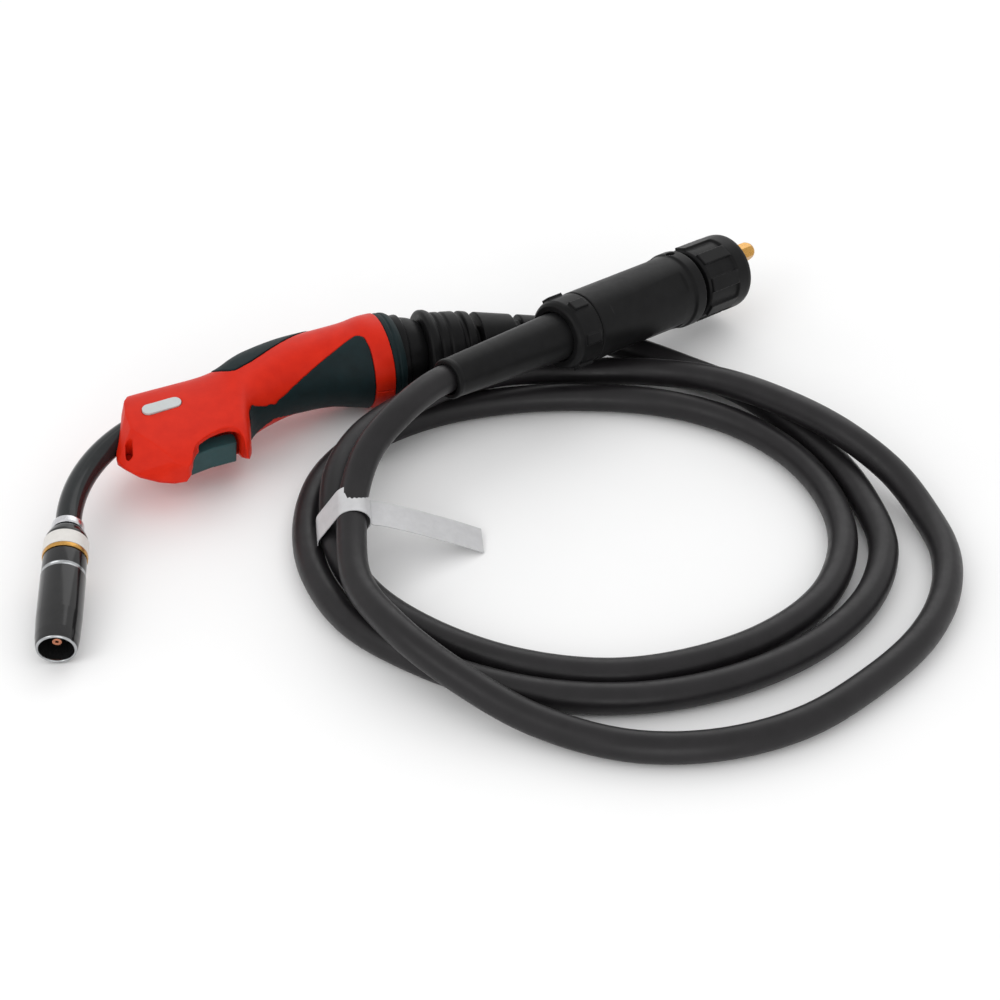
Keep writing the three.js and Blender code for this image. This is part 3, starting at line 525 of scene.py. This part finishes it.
def station(column, x):
    """Hermite curve through one column of the stations."""
    rows = HANDLE_STATIONS
    i = next((k for k, row in enumerate(rows) if row[0] <= x), len(rows) - 1)
    i = max(i, 1)

    def at(k):
        return rows[min(max(k, 0), len(rows) - 1)]

    def slope(k):
        return (at(k + 1)[column] - at(k - 1)[column]) / (at(k + 1)[0] - at(k - 1)[0])

    start, end = at(i - 1), at(i)
    span = end[0] - start[0]
    t = (x - start[0]) / span
    t2, t3 = t * t, t * t * t
    return (start[column] * (2 * t3 - 3 * t2 + 1) + end[column] * (3 * t2 - 2 * t3)
            + slope(i - 1) * span * (t3 - 2 * t2 + t) + slope(i) * span * (t3 - t2))


def skin(name, from_x, to_x, grow=0.0, step=1.5, sides=128):
    """The handle's outer surface between two x, moved outwards by grow."""
    rows = math.ceil((from_x - to_x) / step)
    vertices = []
    for row in range(rows + 1):
        x = from_x + (to_x - from_x) * row / rows
        top, bottom, half, square = (station(c, x) for c in (1, 2, 3, 4))
        middle, tall, wide = (top + bottom) / 2, (top - bottom) / 2 + grow, half + grow
        for k in range(sides):
            a = 2 * math.pi * (k + 0.5) / sides
            c, s = math.cos(a), math.sin(a)
            y = math.copysign(abs(c) ** (2 / square), c)
            z = math.copysign(abs(s) ** (2 / square), s)
            vertices.append((x, middle + tall * y, wide * z))
    faces = []
    for row in range(rows):
        here, there = row * sides, (row + 1) * sides
        for k in range(sides):
            after = (k + 1) % sides
            faces.append((here + k, there + k, there + after, here + after))
    faces.append(tuple(range(sides)))
    faces.append(tuple(range(rows * sides, (rows + 1) * sides))[::-1])
    piece = add_mesh(name, vertices, faces, GUN)
    clean(piece)
    return piece


def bent_path(start, angle, runs, step=1.0):
    """Points along runs of (length, turn in degrees) in the gun's middle plane."""
    x, y = start
    made = [(x, y, 0)]
    heading = math.radians(angle)
    for length, turn in runs:
        steps = math.ceil(length / step)
        for _ in range(steps):
            heading += math.radians(turn) / steps / 2
            x += length / steps * math.cos(heading)
            y += length / steps * math.sin(heading)
            heading += math.radians(turn) / steps / 2
            made.append((x, y, 0))
    return made


NECK_PATH = bent_path(TAIL_START, TAIL_ANGLE, NECK_RUNS)
NECK_END = NECK_PATH[-1]
FRONT = placed(NECK_END, (NOZZLE_ANGLE, 0, 0), GUN)


def cross_rod(name, at, radius, low, high, sides=32):
    """A rod across the gun, from one flank to the other."""
    angles = [2 * math.pi * k / sides for k in range(sides)]
    circle = [(at[0] + radius * math.cos(a), at[1] + radius * math.sin(a)) for a in angles]
    return prism(name, circle, low, high, GUN)


def pill(at, angle, reach, radius):
    """An outline with two straight sides and round ends."""
    made = []
    turn = math.radians(angle)
    for side, start in ((1, -90), (-1, 90)):
        for k in range(17):
            a = math.radians(start + 180 * k / 16)
            x = side * reach + radius * math.cos(a)
            y = radius * math.sin(a)
            made.append((at[0] + x * math.cos(turn) - y * math.sin(turn),
                         at[1] + x * math.sin(turn) + y * math.cos(turn)))
    return made


def badge_outline(grow):
    return pill(BADGE_AT, BADGE_TURN, BADGE_REACH, BADGE_ROUND + grow)


def gun_sweep(name, points, radius, sides=48):
    return sweep(name, [GUN @ Vector(p) for p in points], radius, sides)


def hull(name, points, place):
    """The convex hull of points in a placed group."""
    mesh = bpy.data.meshes.new(name)
    made = bmesh.new()
    for point in points:
        made.verts.new(point)
    result = bmesh.ops.convex_hull(made, input=made.verts)
    left_over = result["geom_interior"] + result["geom_unused"]
    inside = {v for v in left_over if isinstance(v, bmesh.types.BMVert)}
    bmesh.ops.delete(made, geom=list(inside), context="VERTS")
    bmesh.ops.recalc_face_normals(made, faces=made.faces)
    made.to_mesh(mesh)
    made.free()
    mesh.transform(METRES @ place)
    piece = bpy.data.objects.new(name, mesh)
    bpy.context.scene.collection.objects.link(piece)
    return piece


def handle_solid():
    """Both shells in one, without the line between them."""
    body = skin("body", 0, -191)
    head = prism("head", rounded(HEAD_OUTLINE, 2.5), -FLANK, FLANK, GUN)
    corners = [(x, y, side * z) for z, line in BOW_LINES for x, y in line for side in (1, -1)]
    combine(body, "INTERSECT", head, hull("bow", corners, GUN))
    combine(body, "DIFFERENCE", make_cavity(), *handle_rooms())
    for outline in (BELLY_GRIP_OUTLINE, SPINE_GRIP_OUTLINE):
        pocket = prism("pocket", rounded(outline, 1.5), -FLANK, FLANK, GUN)
        combine(pocket, "DIFFERENCE", skin("floor", 1, -126, -GRIP_DEPTH - CLEARANCE))
        combine(body, "DIFFERENCE", pocket)
    return body


def make_cavity():
    cavity = skin("cavity", -6, -150, -WALL - GRIP_DEPTH, 4, 64)
    front = block("front", *SOLID_FRONT, -FLANK, FLANK, GUN)
    bosses = [cross_rod("boss", (x, y), SCREW_BOSS_R, -FLANK, FLANK) for x, y, _ in SCREWS]
    return combine(cavity, "DIFFERENCE", front, *bosses)


def handle_rooms():
    """What is cut out of the handle for the other pieces."""
    half = TRIGGER_HALF + CLEARANCE
    sheared = Matrix.Identity(4)
    sheared[0][2], sheared[1][2] = UNDERCUT_SLOPE
    tail = placed((*TAIL_START, 0), (TAIL_ANGLE, 0, 0), GUN)
    ball = placed((BALL_X, 0, 0), (0, 0, 0), GUN)
    angles = [math.pi * k / 24 for k in range(25)]
    half_circle = [(-BALL_ROOM_R * math.cos(a), BALL_ROOM_R * math.sin(a)) for a in angles]
    slot = pill(SLOT_AT, SLOT_TURN, SLOT_REACH, SLOT_ROUND)
    return [
        prism("undercut", UNDERCUT, -FLANK, UNDERCUT_TOP, GUN @ sheared),
        prism("front_slot", slot, SLOT_FLOOR, FLANK, GUN),
        block("room", -144.5, -135.5, -80, TRIGGER_ROOM_TOP, -half, half, GUN),
        block("bay", -136, -109.6, -80, TRIGGER_ROOM_TOP, -BAY_HALF, BAY_HALF, GUN),
        block("slot", *PLUNGER_SLOT, -40, -30, -2.3, 2.3, GUN),
        gun_sweep("neck_room", NECK_PATH, NECK_R + CLEARANCE),
        lathe("clamp_room", CLAMP_ROOM, tail, 48, 0.1, rod=True),
        lathe("ball_room", half_circle, ball, 96, 0.1, rod=True),
        prism("badge_room", badge_outline(0.25), BADGE_FLOOR, FLANK, GUN),
        *[cross_rod("screw_room", (x, y), SCREW_HEAD_ROOM_R, -FLANK, z + 2.7) for x, y, z in SCREWS],
        *[cross_rod("screw_hole", (x, y), SCREW_HOLE_R, z, 9.3) for x, y, z in SCREWS],
    ]


def make_shells():
    body = handle_solid()
    halves = [("shell_left_moulding", SEAM, FLANK), ("shell_right_moulding", -FLANK, -SEAM)]
    for name, low, high in halves:
        half = body.copy()
        half.data = body.data.copy()
        bpy.context.scene.collection.objects.link(half)
        half.name = name
        combine(half, "INTERSECT", block("half", -200, 10, -90, 60, low, high, GUN))
        soften(half, 0.5, 3)
        settle(half, RED, "handle", [name.replace("_moulding", "")])
    bpy.data.objects.remove(body)


def inset(outline, gap):
    """The outline drawn in by the gap."""
    count = len(outline)
    pairs = [(outline[k - 1], outline[k]) for k in range(count)]
    area = sum(before[0] * after[1] - after[0] * before[1] for before, after in pairs)
    turn = 1 if area > 0 else -1
    made = []
    for k, point in enumerate(outline):
        before, after = outline[k - 1], outline[(k + 1) % count]
        along = (Vector(after) - Vector(before)).normalized()
        inward = Vector((-along.y, along.x)) * turn
        made.append(tuple(Vector(point) + inward * gap))
    return made


def make_grip(name, outline, node):
    piece = prism(name, inset(rounded(outline, 1.5), CLEARANCE), -FLANK, FLANK, GUN)
    layer = skin("layer", 1, -124, GRIP_PROUD)
    combine(layer, "DIFFERENCE", skin("under", 2, -125, -GRIP_DEPTH))
    combine(piece, "INTERSECT", layer)
    soften(piece, 0.5, 4)
    return settle(piece, GRIP, "handle", [node])


def make_trigger():
    piece = prism("trigger_blade", rounded(TRIGGER_OUTLINE, 1.2), -TRIGGER_HALF, TRIGGER_HALF, GUN)
    combine(piece, "DIFFERENCE", cross_rod("pin_hole", PIVOT, 1.9, -20, 20))
    soften(piece, 0.4, 6)
    settle(piece, TRIGGER, "trigger", ["trigger"])


def make_badge():
    piece = prism("badge", badge_outline(0), BADGE_FLOOR + 0.2, 18.5, GUN)
    soften(piece, 0.25, 4)
    settle(piece, BADGE, "handle", ["badge_plate"])


make_shells()
make_grip("belly_grip", BELLY_GRIP_OUTLINE, "grip_belly")
make_grip("spine_grip", SPINE_GRIP_OUTLINE, "grip_spine")
make_trigger()
make_badge()

# ---------------------------------------------------------------- ball joint and cable support
SLEEVE_BORE = CABLE_D / 2 + 0.9
CUP_R = BALL_R + 2.1
LOCK_START = 0.3
LOCK_LIP = 9
SUPPORT_FACE = 13.3
SUPPORT_CORE = 12
OUTSIDE = 30  # a radius past the support's and the plug's surfaces, for what cuts them
SUPPORT_SLOT = 5.6
SUPPORT_SLOTS = [(30, 180), (46, 0), (60, 180), (75.5, 0), (88, 180)]
SUPPORT_OUTSIDE = [
    (SUPPORT_FACE, 24.6), (14, 25.8), (15, 26.6), (18, 26.5), (20.5, 25.2), (21.1, 23.4), (22.3, 23.4),
    (22.9, 24.3), (27, 24.1), (27.6, 23), (28.8, 23), (29.4, 23.9), (37, 23.5), (37.8, 21), (40.2, 21),
    (41, 23.2), (50, 21.6), (70, 18.2), (82, 16.2), (98, 13.4), (SUPPORT_LENGTH, 12.4),
]


def arc(radius, from_x, to_x, steps=16):
    """Profile points on a circle round the origin, between two places on the axis."""
    return [(x, math.sqrt(radius**2 - x * x))
            for x in (from_x + (to_x - from_x) * k / steps for k in range(steps + 1))]


def make_locking_ring():
    """A ring behind the shells, with a bore that follows the cup."""
    bore = arc(CUP_R + CLEARANCE, LOCK_LIP - BALL_X, LOCK_START - BALL_X)
    inner = [(x + BALL_X, r) for x, r in bore]
    outer = [(LOCK_START, 28.7), (3, 28.9), (3.6, 28.3), (4.4, 28.3), (5, 28.8), (7, 28.4),
             (LOCK_LIP, 27.2)]
    ring = lathe("locking_ring_moulding", [*outer, *inner], GUN, 128, 0.5)
    settle(ring, GRIP, "handle", ["locking_ring"])


def make_ball_cup():
    outer = arc(CUP_R, -21, -1, 24)
    inner = arc(BALL_R + CLEARANCE, 0.6, -20, 24)
    cup = lathe("ball_cup_moulding", [*outer, *inner], SUPPORT, 128, 0.4)
    settle(cup, BLACK, "ball_cup", ["ball_cup"])


def make_joint_ball():
    profile = [*arc(BALL_R, -17, 13, 40), (13, SLEEVE_BORE), (-17, SLEEVE_BORE)]
    ball = lathe("joint_ball_moulding", profile, SUPPORT, 128, 0.4)
    settle(ball, BLACK, "cable_and_plug", ["joint_ball"])


def make_support():
    bore = [(SUPPORT_LENGTH, SLEEVE_BORE), (SUPPORT_FACE, SLEEVE_BORE)]
    sleeve = lathe("support_sleeve", [*SUPPORT_OUTSIDE, *bore], SUPPORT, 96, 0.5)
    for x, side in SUPPORT_SLOTS:
        turn = placed((0, 0, 0), (0, 0, side), SUPPORT)
        end = x + SUPPORT_SLOT
        groove = [(x, SUPPORT_CORE), (x, OUTSIDE), (end, OUTSIDE), (end, SUPPORT_CORE)]
        ring = lathe("slot", groove, turn, 64, 0.1)
        combine(ring, "INTERSECT", block("sector", 0, 200, -40, 40, -4, 40, turn))
        combine(sleeve, "DIFFERENCE", ring)
    soften(sleeve, 0.5, 4)
    settle(sleeve, BLACK, "cable_and_plug", ["cable_support"])


make_locking_ring()
make_ball_cup()
make_joint_ball()
make_support()

# ---------------------------------------------------------------- neck and front end
NECK_BORE = NECK_R + CLEARANCE
NECK_TUBE_BORE = 6.2
NECK_TAIL = (3, 6, 9, 12)  # steps of the straight run into the front end
NOZZLE_CHROME = turned_finish("nozzle_chrome", (0.012, 0.012, 0.0125), 0.13, FRONT, mottle=0.15,
                              mottle_mm=5, rough_spread=0.04, metal=0.0, specular=0.4)
# a bright copy of the nozzle's finish: a painted highlight laid over some real polish
NOZZLE_POLISH_AND_HIGHLIGHT = turned_finish("nozzle_polish_and_highlight", (0.42, 0.43, 0.44), 0.22, FRONT, mottle=0.12, mottle_mm=4,
                              rough_spread=0.05)
POLISH_AND_HIGHLIGHT_BANDS = [(43.2, 46.2), (97.4, 99)]  # the groove and the rim of the mouth, in bright metal: partly real polish, partly a painted highlight


def make_neck():
    tail = Vector((math.cos(math.radians(NOZZLE_ANGLE)), math.sin(math.radians(NOZZLE_ANGLE)), 0))
    line = [*NECK_PATH, *[tuple(Vector(NECK_END) + tail * step) for step in NECK_TAIL]]
    tube = gun_sweep("neck_pipe", line, NECK_R, 96)
    before = tuple(2 * Vector(line[0]) - Vector(line[1]))
    after = tuple(2 * Vector(line[-1]) - Vector(line[-2]))
    combine(tube, "DIFFERENCE", gun_sweep("bore", [before, *line, after], NECK_TUBE_BORE, 48))
    for polygon in tube.data.polygons:
        polygon.use_smooth = True
    tube.data.set_sharp_from_angle(angle=math.radians(40))
    settle(tube, NECK_CHROME, "handle", ["neck_tube"])


def make_front_end():
    parts = [
        ("neck_ring_turned", "neck_ring", STEEL, "steel", "handle",
         [(5, NECK_BORE), (5, 9.0), (6, 9.3), (9, 9.3), (10, 9.0), (10, NECK_BORE)]),
        ("neck_collar_turned", "neck_collar", NOZZLE_CHROME, "dark_chrome", "handle",
         [(10.3, NECK_BORE), (10.3, 8.6), (13.4, 10.8), (17, 12.2), (19.2, 12.3), (19.2, 9), (12.6, 9),
          (12.6, NECK_BORE)]),
        ("insulator_moulding", "insulator_ring", WHITE, "white_insulator", "handle",
         [(12.9, 6.6), (12.9, 8.7), (19.5, 8.7), (19.5, 13), (29, 13.1), (29, 6.6)]),
        ("seat_turned", "nozzle_seat", BRASS, "brass", "handle",
         [(29.3, 6.6), (29.3, 13), (32, 12.9), (32, 11), (41, 11), (41, 10.1), (43, 10.1), (43, 11),
          (49, 11), (50, 10.2), (50, 6.6)]),
        ("holder_turned", "tip_holder", BRASS, "brass", "handle",
         [(32, 2.6), (32, 6.2), (50.3, 6.2), (50.3, 7.4), (53, 7.4), (53, 6.2), (66, 5.4), (66, 2.6)]),
        ("diffuser_turned", "gas_diffuser", WHITE, "white_insulator", "handle",
         [(53.3, 6.6), (53.3, 9.2), (60, 9.2), (60, 6.6)]),
        ("contact_tip_turned", "contact_tip", COPPER, "copper", "handle",
         [(66.3, 0.9), (66.3, 4), (84, 4), (89, 2.9), (93, 2.7), (93, 0.9)]),
        ("nozzle_turned", "gas_nozzle", NOZZLE_CHROME, "dark_chrome", "gas_nozzle",
         [(32.3, 11.5), (32.3, 12.2), (32.8, 12.5), (43.5, 12.5), (44.1, 12.0), (45.3, 12.0),
          (45.9, 12.8), (76.5, 12.8), (90.5, 12.3), (96, 11.7), (98, 11.2), (98.5, 10.7), (98.5, 9.9),
          (97.8, 9.6), (54.5, 9.8), (51.5, 11.5)]),
    ]
    for name, node, material, slot, body, profile in parts:
        settle(lathe(name, profile, FRONT, 128, 0.25), material, body, [node])
    # the groove and the mouth's rim get a painted highlight, partly real polish
    paint_polish_and_highlight(bpy.data.objects["nozzle_turned"])


def paint_polish_and_highlight(nozzle):
    """Gives the faces of the groove and of the mouth's rim a bright metal: partly real polish, partly a
    painted highlight.
    """
    nozzle.data.materials.append(NOZZLE_POLISH_AND_HIGHLIGHT)
    back = (METRES @ FRONT).inverted()
    for polygon in nozzle.data.polygons:
        x = (back @ polygon.center).x
        if any(low < x < high for low, high in POLISH_AND_HIGHLIGHT_BANDS):
            polygon.material_index = 1


make_neck()
make_front_end()

# ---------------------------------------------------------------- plug
SLEEVE_LENGTH = 97.5
COLLAR = (92, 112)
LUGS = 6
LUG_TOP = 24.2
LUG_HALF = 3.5
HOUSING = (112.3, 193, 196, 206)
HOUSING_R = 23.5
HOUSING_SCREW_X = 200
NUT_R = 25
NUT = (211.5, 222, 237, 251)
BODY_BORE = 17.9 + CLEARANCE  # in the housing and the nut, round the plug's body
HOUSING_BORE = 20.6
PANEL_CLOCKS = (45, 135, 225, 315)
PANEL_START = 124
PANEL_HALF = 9
PANEL_FLOOR = 22.7
SCREW_CLOCKS = (75, 255)
NUT_WAIST = 22.4  # the nut's radius between its ribs
NUT_RIBS = 8
NUT_RIB_HALF = 4.6
FITTING_X = 240.3
GUIDE = (90, 8)  # clock position and distance from the plug's axis
HEX = (262, 274.5)
HEX_R = 6.3
SPIGOT_R = 4.6
LINER_BORE = [(230, 0), (230, 2.4), (290, 2.4), (290, 0)]


def turned_by(degrees):
    """The plug's group turned about its own axis."""
    return placed((0, 0, 0), (0, 0, degrees), PLUG)


def at_clock(clock, radius):
    a = math.radians(clock)
    return placed((0, radius * math.cos(a), radius * math.sin(a)), (0, 0, 0), PLUG)


def make_sleeve():
    sleeve = lathe("plug_sleeve_moulding", [
        (0, SLEEVE_BORE), (0, 11.6), (0.6, 12.3), (2.5, 12.5), (4.5, 12.3), (86, 15.2),
        (SLEEVE_LENGTH, 15.4), (SLEEVE_LENGTH, 17.6), (103, 17.6), (103, SLEEVE_BORE)], PLUG, 96, 0.4)
    settle(sleeve, BLACK, "cable_and_plug", ["plug_sleeve"])


def make_collar():
    back, front = COLLAR
    collar = lathe("plug_collar_moulding", [
        (back, 15.9), (back, 19.6), (93.2, 21.2), (95.5, 22.3), (front, 22.6), (front, 18), (97, 18),
        (97, 15.9)], PLUG, 96, 0.3)
    turns = [turned_by(45 + 360 / LUGS * k) for k in range(LUGS)]
    lugs = [block("lug", 97, 109, 20, LUG_TOP, -LUG_HALF, LUG_HALF, turn) for turn in turns]
    combine(collar, "UNION", *lugs)
    soften(collar, 0.4, 4)
    settle(collar, BLACK, "cable_and_plug", ["plug_collar"])


def make_housing():
    start, throat, flange, end = HOUSING
    housing = lathe("plug_housing_moulding", [
        (start, 17), (start, HOUSING_R - 0.6), (flange - 8, HOUSING_R + 0.3),
        (flange, HOUSING_R + 0.3), (flange + 1.5, NUT_R), (end, NUT_R), (end, BODY_BORE),
        (throat, BODY_BORE), (throat, HOUSING_BORE), (115, HOUSING_BORE), (115, 17)], PLUG, 96, 0.4)
    panel_end = throat - 2
    outline = rounded([(PANEL_START, -PANEL_HALF), (panel_end, -PANEL_HALF), (panel_end, PANEL_HALF),
                       (PANEL_START, PANEL_HALF)], 5)
    turns = [turned_by(clock - 90) for clock in PANEL_CLOCKS]
    panels = [prism("panel", outline, PANEL_FLOOR, OUTSIDE, turn) for turn in turns]
    head = [(20, 0), (20, 2.9), (OUTSIDE, 2.9), (OUTSIDE, 0)]
    rooms = [lathe("screw_room", head, radial(HOUSING_SCREW_X, clock), 32, 0.1, rod=True)
             for clock in SCREW_CLOCKS]
    combine(housing, "DIFFERENCE", *panels, *rooms)
    soften(housing, 0.55, 4)
    settle(housing, BLACK, "cable_and_plug", ["plug_housing"])


def radial(x, clock):
    """A group whose x axis points out from the plug's axis at a clock position."""
    return placed((x, 0, 0), (0, 0, clock), PLUG) @ Matrix.Rotation(math.radians(90), 4, "Z")


def make_nut():
    back, shoulder, band, front = NUT
    nut = lathe("hand_nut_moulding", [
        (back, BODY_BORE), (back, NUT_WAIST), (back + 1.5, 23.4), (band, 23.4), (band + 1, NUT_R),
        (front - 4, NUT_R), (front - 1.4, 24.6), (front, 23.4), (front, 21.4), (shoulder, 21.4),
        (shoulder, BODY_BORE)], PLUG, 128, 0.5)
    turns = [turned_by(22 + 360 / NUT_RIBS * k) for k in range(NUT_RIBS)]
    across = (-NUT_RIB_HALF, NUT_RIB_HALF)
    ribs = [block("rib", back + 1.5, band + 0.5, NUT_WAIST, NUT_R - 0.1, *across, turn) for turn in turns]
    combine(nut, "UNION", *ribs)
    soften(nut, 0.45, 4)
    settle(nut, BLACK, "hand_nut", ["hand_nut"])


def make_guide_nut():
    """A hexagon on a spigot, with the liner's hole through both."""
    start, end = HEX
    place = at_clock(*GUIDE)
    upright = place @ Matrix.Rotation(math.radians(90), 4, "Y")
    angles = [math.radians(60 * k) for k in range(6)]
    nut = prism("guide_nut_turned", [(-HEX_R * math.sin(a), HEX_R * math.cos(a)) for a in angles],
                start, end, upright)
    chamfer = [(start - 4, 0), (start - 4, 5.5), (start, 5.5), (start + 0.9, 6.5), (end - 3.4, 6.5),
               (end, 4.9), (end, 0)]
    spigot = [(FITTING_X, 0), (FITTING_X, SPIGOT_R), (start + 1, SPIGOT_R), (start + 1, 0)]
    combine(nut, "INTERSECT", lathe("chamfer", chamfer, place, 64, 0.1, rod=True))
    combine(nut, "UNION", lathe("spigot", spigot, place, 64, 0.1, rod=True))
    combine(nut, "DIFFERENCE", lathe("bore", LINER_BORE, place, 32, 0.1, rod=True))
    soften(nut, 0.2, 3)
    settle(nut, BRASS, "cable_and_plug", ["guide_nut"])


make_sleeve()
make_collar()
make_housing()
make_nut()
make_guide_nut()

# ---------------------------------------------------------------- label
LABEL_R = 10.1
LABEL_THICK = 0.5
LABEL_HALF_WIDTH = 9.5
LABEL_SECOND = (10.8, 17.5)
LABEL_FLAG = [(20.6, 17), (21.6, 14.6), (27, 13), (37, 9), (48, 4), (59, -1.6), (70, -7), (86, -16)]


def label_loop():
    """A stadium round the two strands, in the label's section."""
    second = Vector(LABEL_SECOND)
    tilt = math.atan2(second.y, second.x)
    line = []
    for centre, start in ((second, tilt - math.pi / 2), (Vector((0, 0)), tilt + math.pi / 2)):
        for k in range(25):
            a = start + math.pi * k / 24
            line.append(centre + LABEL_R * Vector((math.cos(a), math.sin(a))))
    return line


def ribbon(name, line, closed):
    """A strip of film along a line in the label's section."""
    count = len(line)
    vertices = []
    for k, point in enumerate(line):
        before = line[k - 1] if closed or k else point
        after = line[(k + 1) % count] if closed or k + 1 < count else point
        along = (Vector(after) - Vector(before)).normalized()
        out = Vector((along.y, -along.x)) * LABEL_THICK / 2
        x, y = point
        for side, width in ((-1, -1), (1, -1), (1, 1), (-1, 1)):
            vertices.append((x + side * out.x, y + side * out.y, width * LABEL_HALF_WIDTH))
    faces = []
    for k in range(count if closed else count - 1):
        here, there = 4 * k, 4 * ((k + 1) % count)
        faces += [(here + c, there + c, there + (c + 1) % 4, here + (c + 1) % 4) for c in range(4)]
    if not closed:
        faces += [(0, 1, 2, 3), tuple(4 * count - n for n in (1, 2, 3, 4))]
    piece = add_mesh(name, vertices, faces, LABEL)
    clean(piece)
    return piece


def make_label():
    label = ribbon("label_strip", label_loop(), True)
    flag = [tuple(p) for p in spline(LABEL_FLAG, 6)]
    combine(label, "UNION", ribbon("flag", flag, False))
    for polygon in label.data.polygons:
        polygon.use_smooth = True
    label.data.set_sharp_from_angle(angle=math.radians(35))
    settle(label, FILM, "cable_and_plug", ["label"])


make_label()

# ---------------------------------------------------------------- nodes that keep their shape
PAINTED = {
    "black_plastic": (BLACK, ["plug_body", "microswitch", "gas_nipple_o_ring"]),
    "steel": (STEEL, ["shell_screw_1", "shell_screw_2", "shell_screw_3", "shell_screw_4", "trigger_pin",
                      "neck_liner", "nozzle_spring", "housing_screw_1", "housing_screw_2", "liner_end",
                      "nut_circlip"]),
    "brass": (BRASS, ["neck_clamp", "cable_lug", "brass_block", "gas_nipple", "signal_pin_1",
                      "signal_pin_2"]),
    "copper": (COPPER, ["neck_current_tube"]),
    "white": (WHITE, ["neck_insulation", "switch_plunger"]),
}
for material, names in PAINTED.values():
    for name in names:
        paint_node(name, material)


def make_floor():
    half = 6.0
    corners = [(-half, -half, 0), (half, -half, 0), (half, half, 0), (-half, half, 0)]
    mesh = bpy.data.meshes.new("floor")
    mesh.from_pydata(corners, [], [(0, 1, 2, 3)])
    floor = bpy.data.objects.new("floor", mesh)
    bpy.context.scene.collection.objects.link(floor)
    paint = finish("studio_floor", (0.93, 0.93, 0.93), 0.7, mottle=0.005, mottle_mm=80, grain=0,
                   specular=0.1)
    floor.data.materials.append(paint)


make_floor()
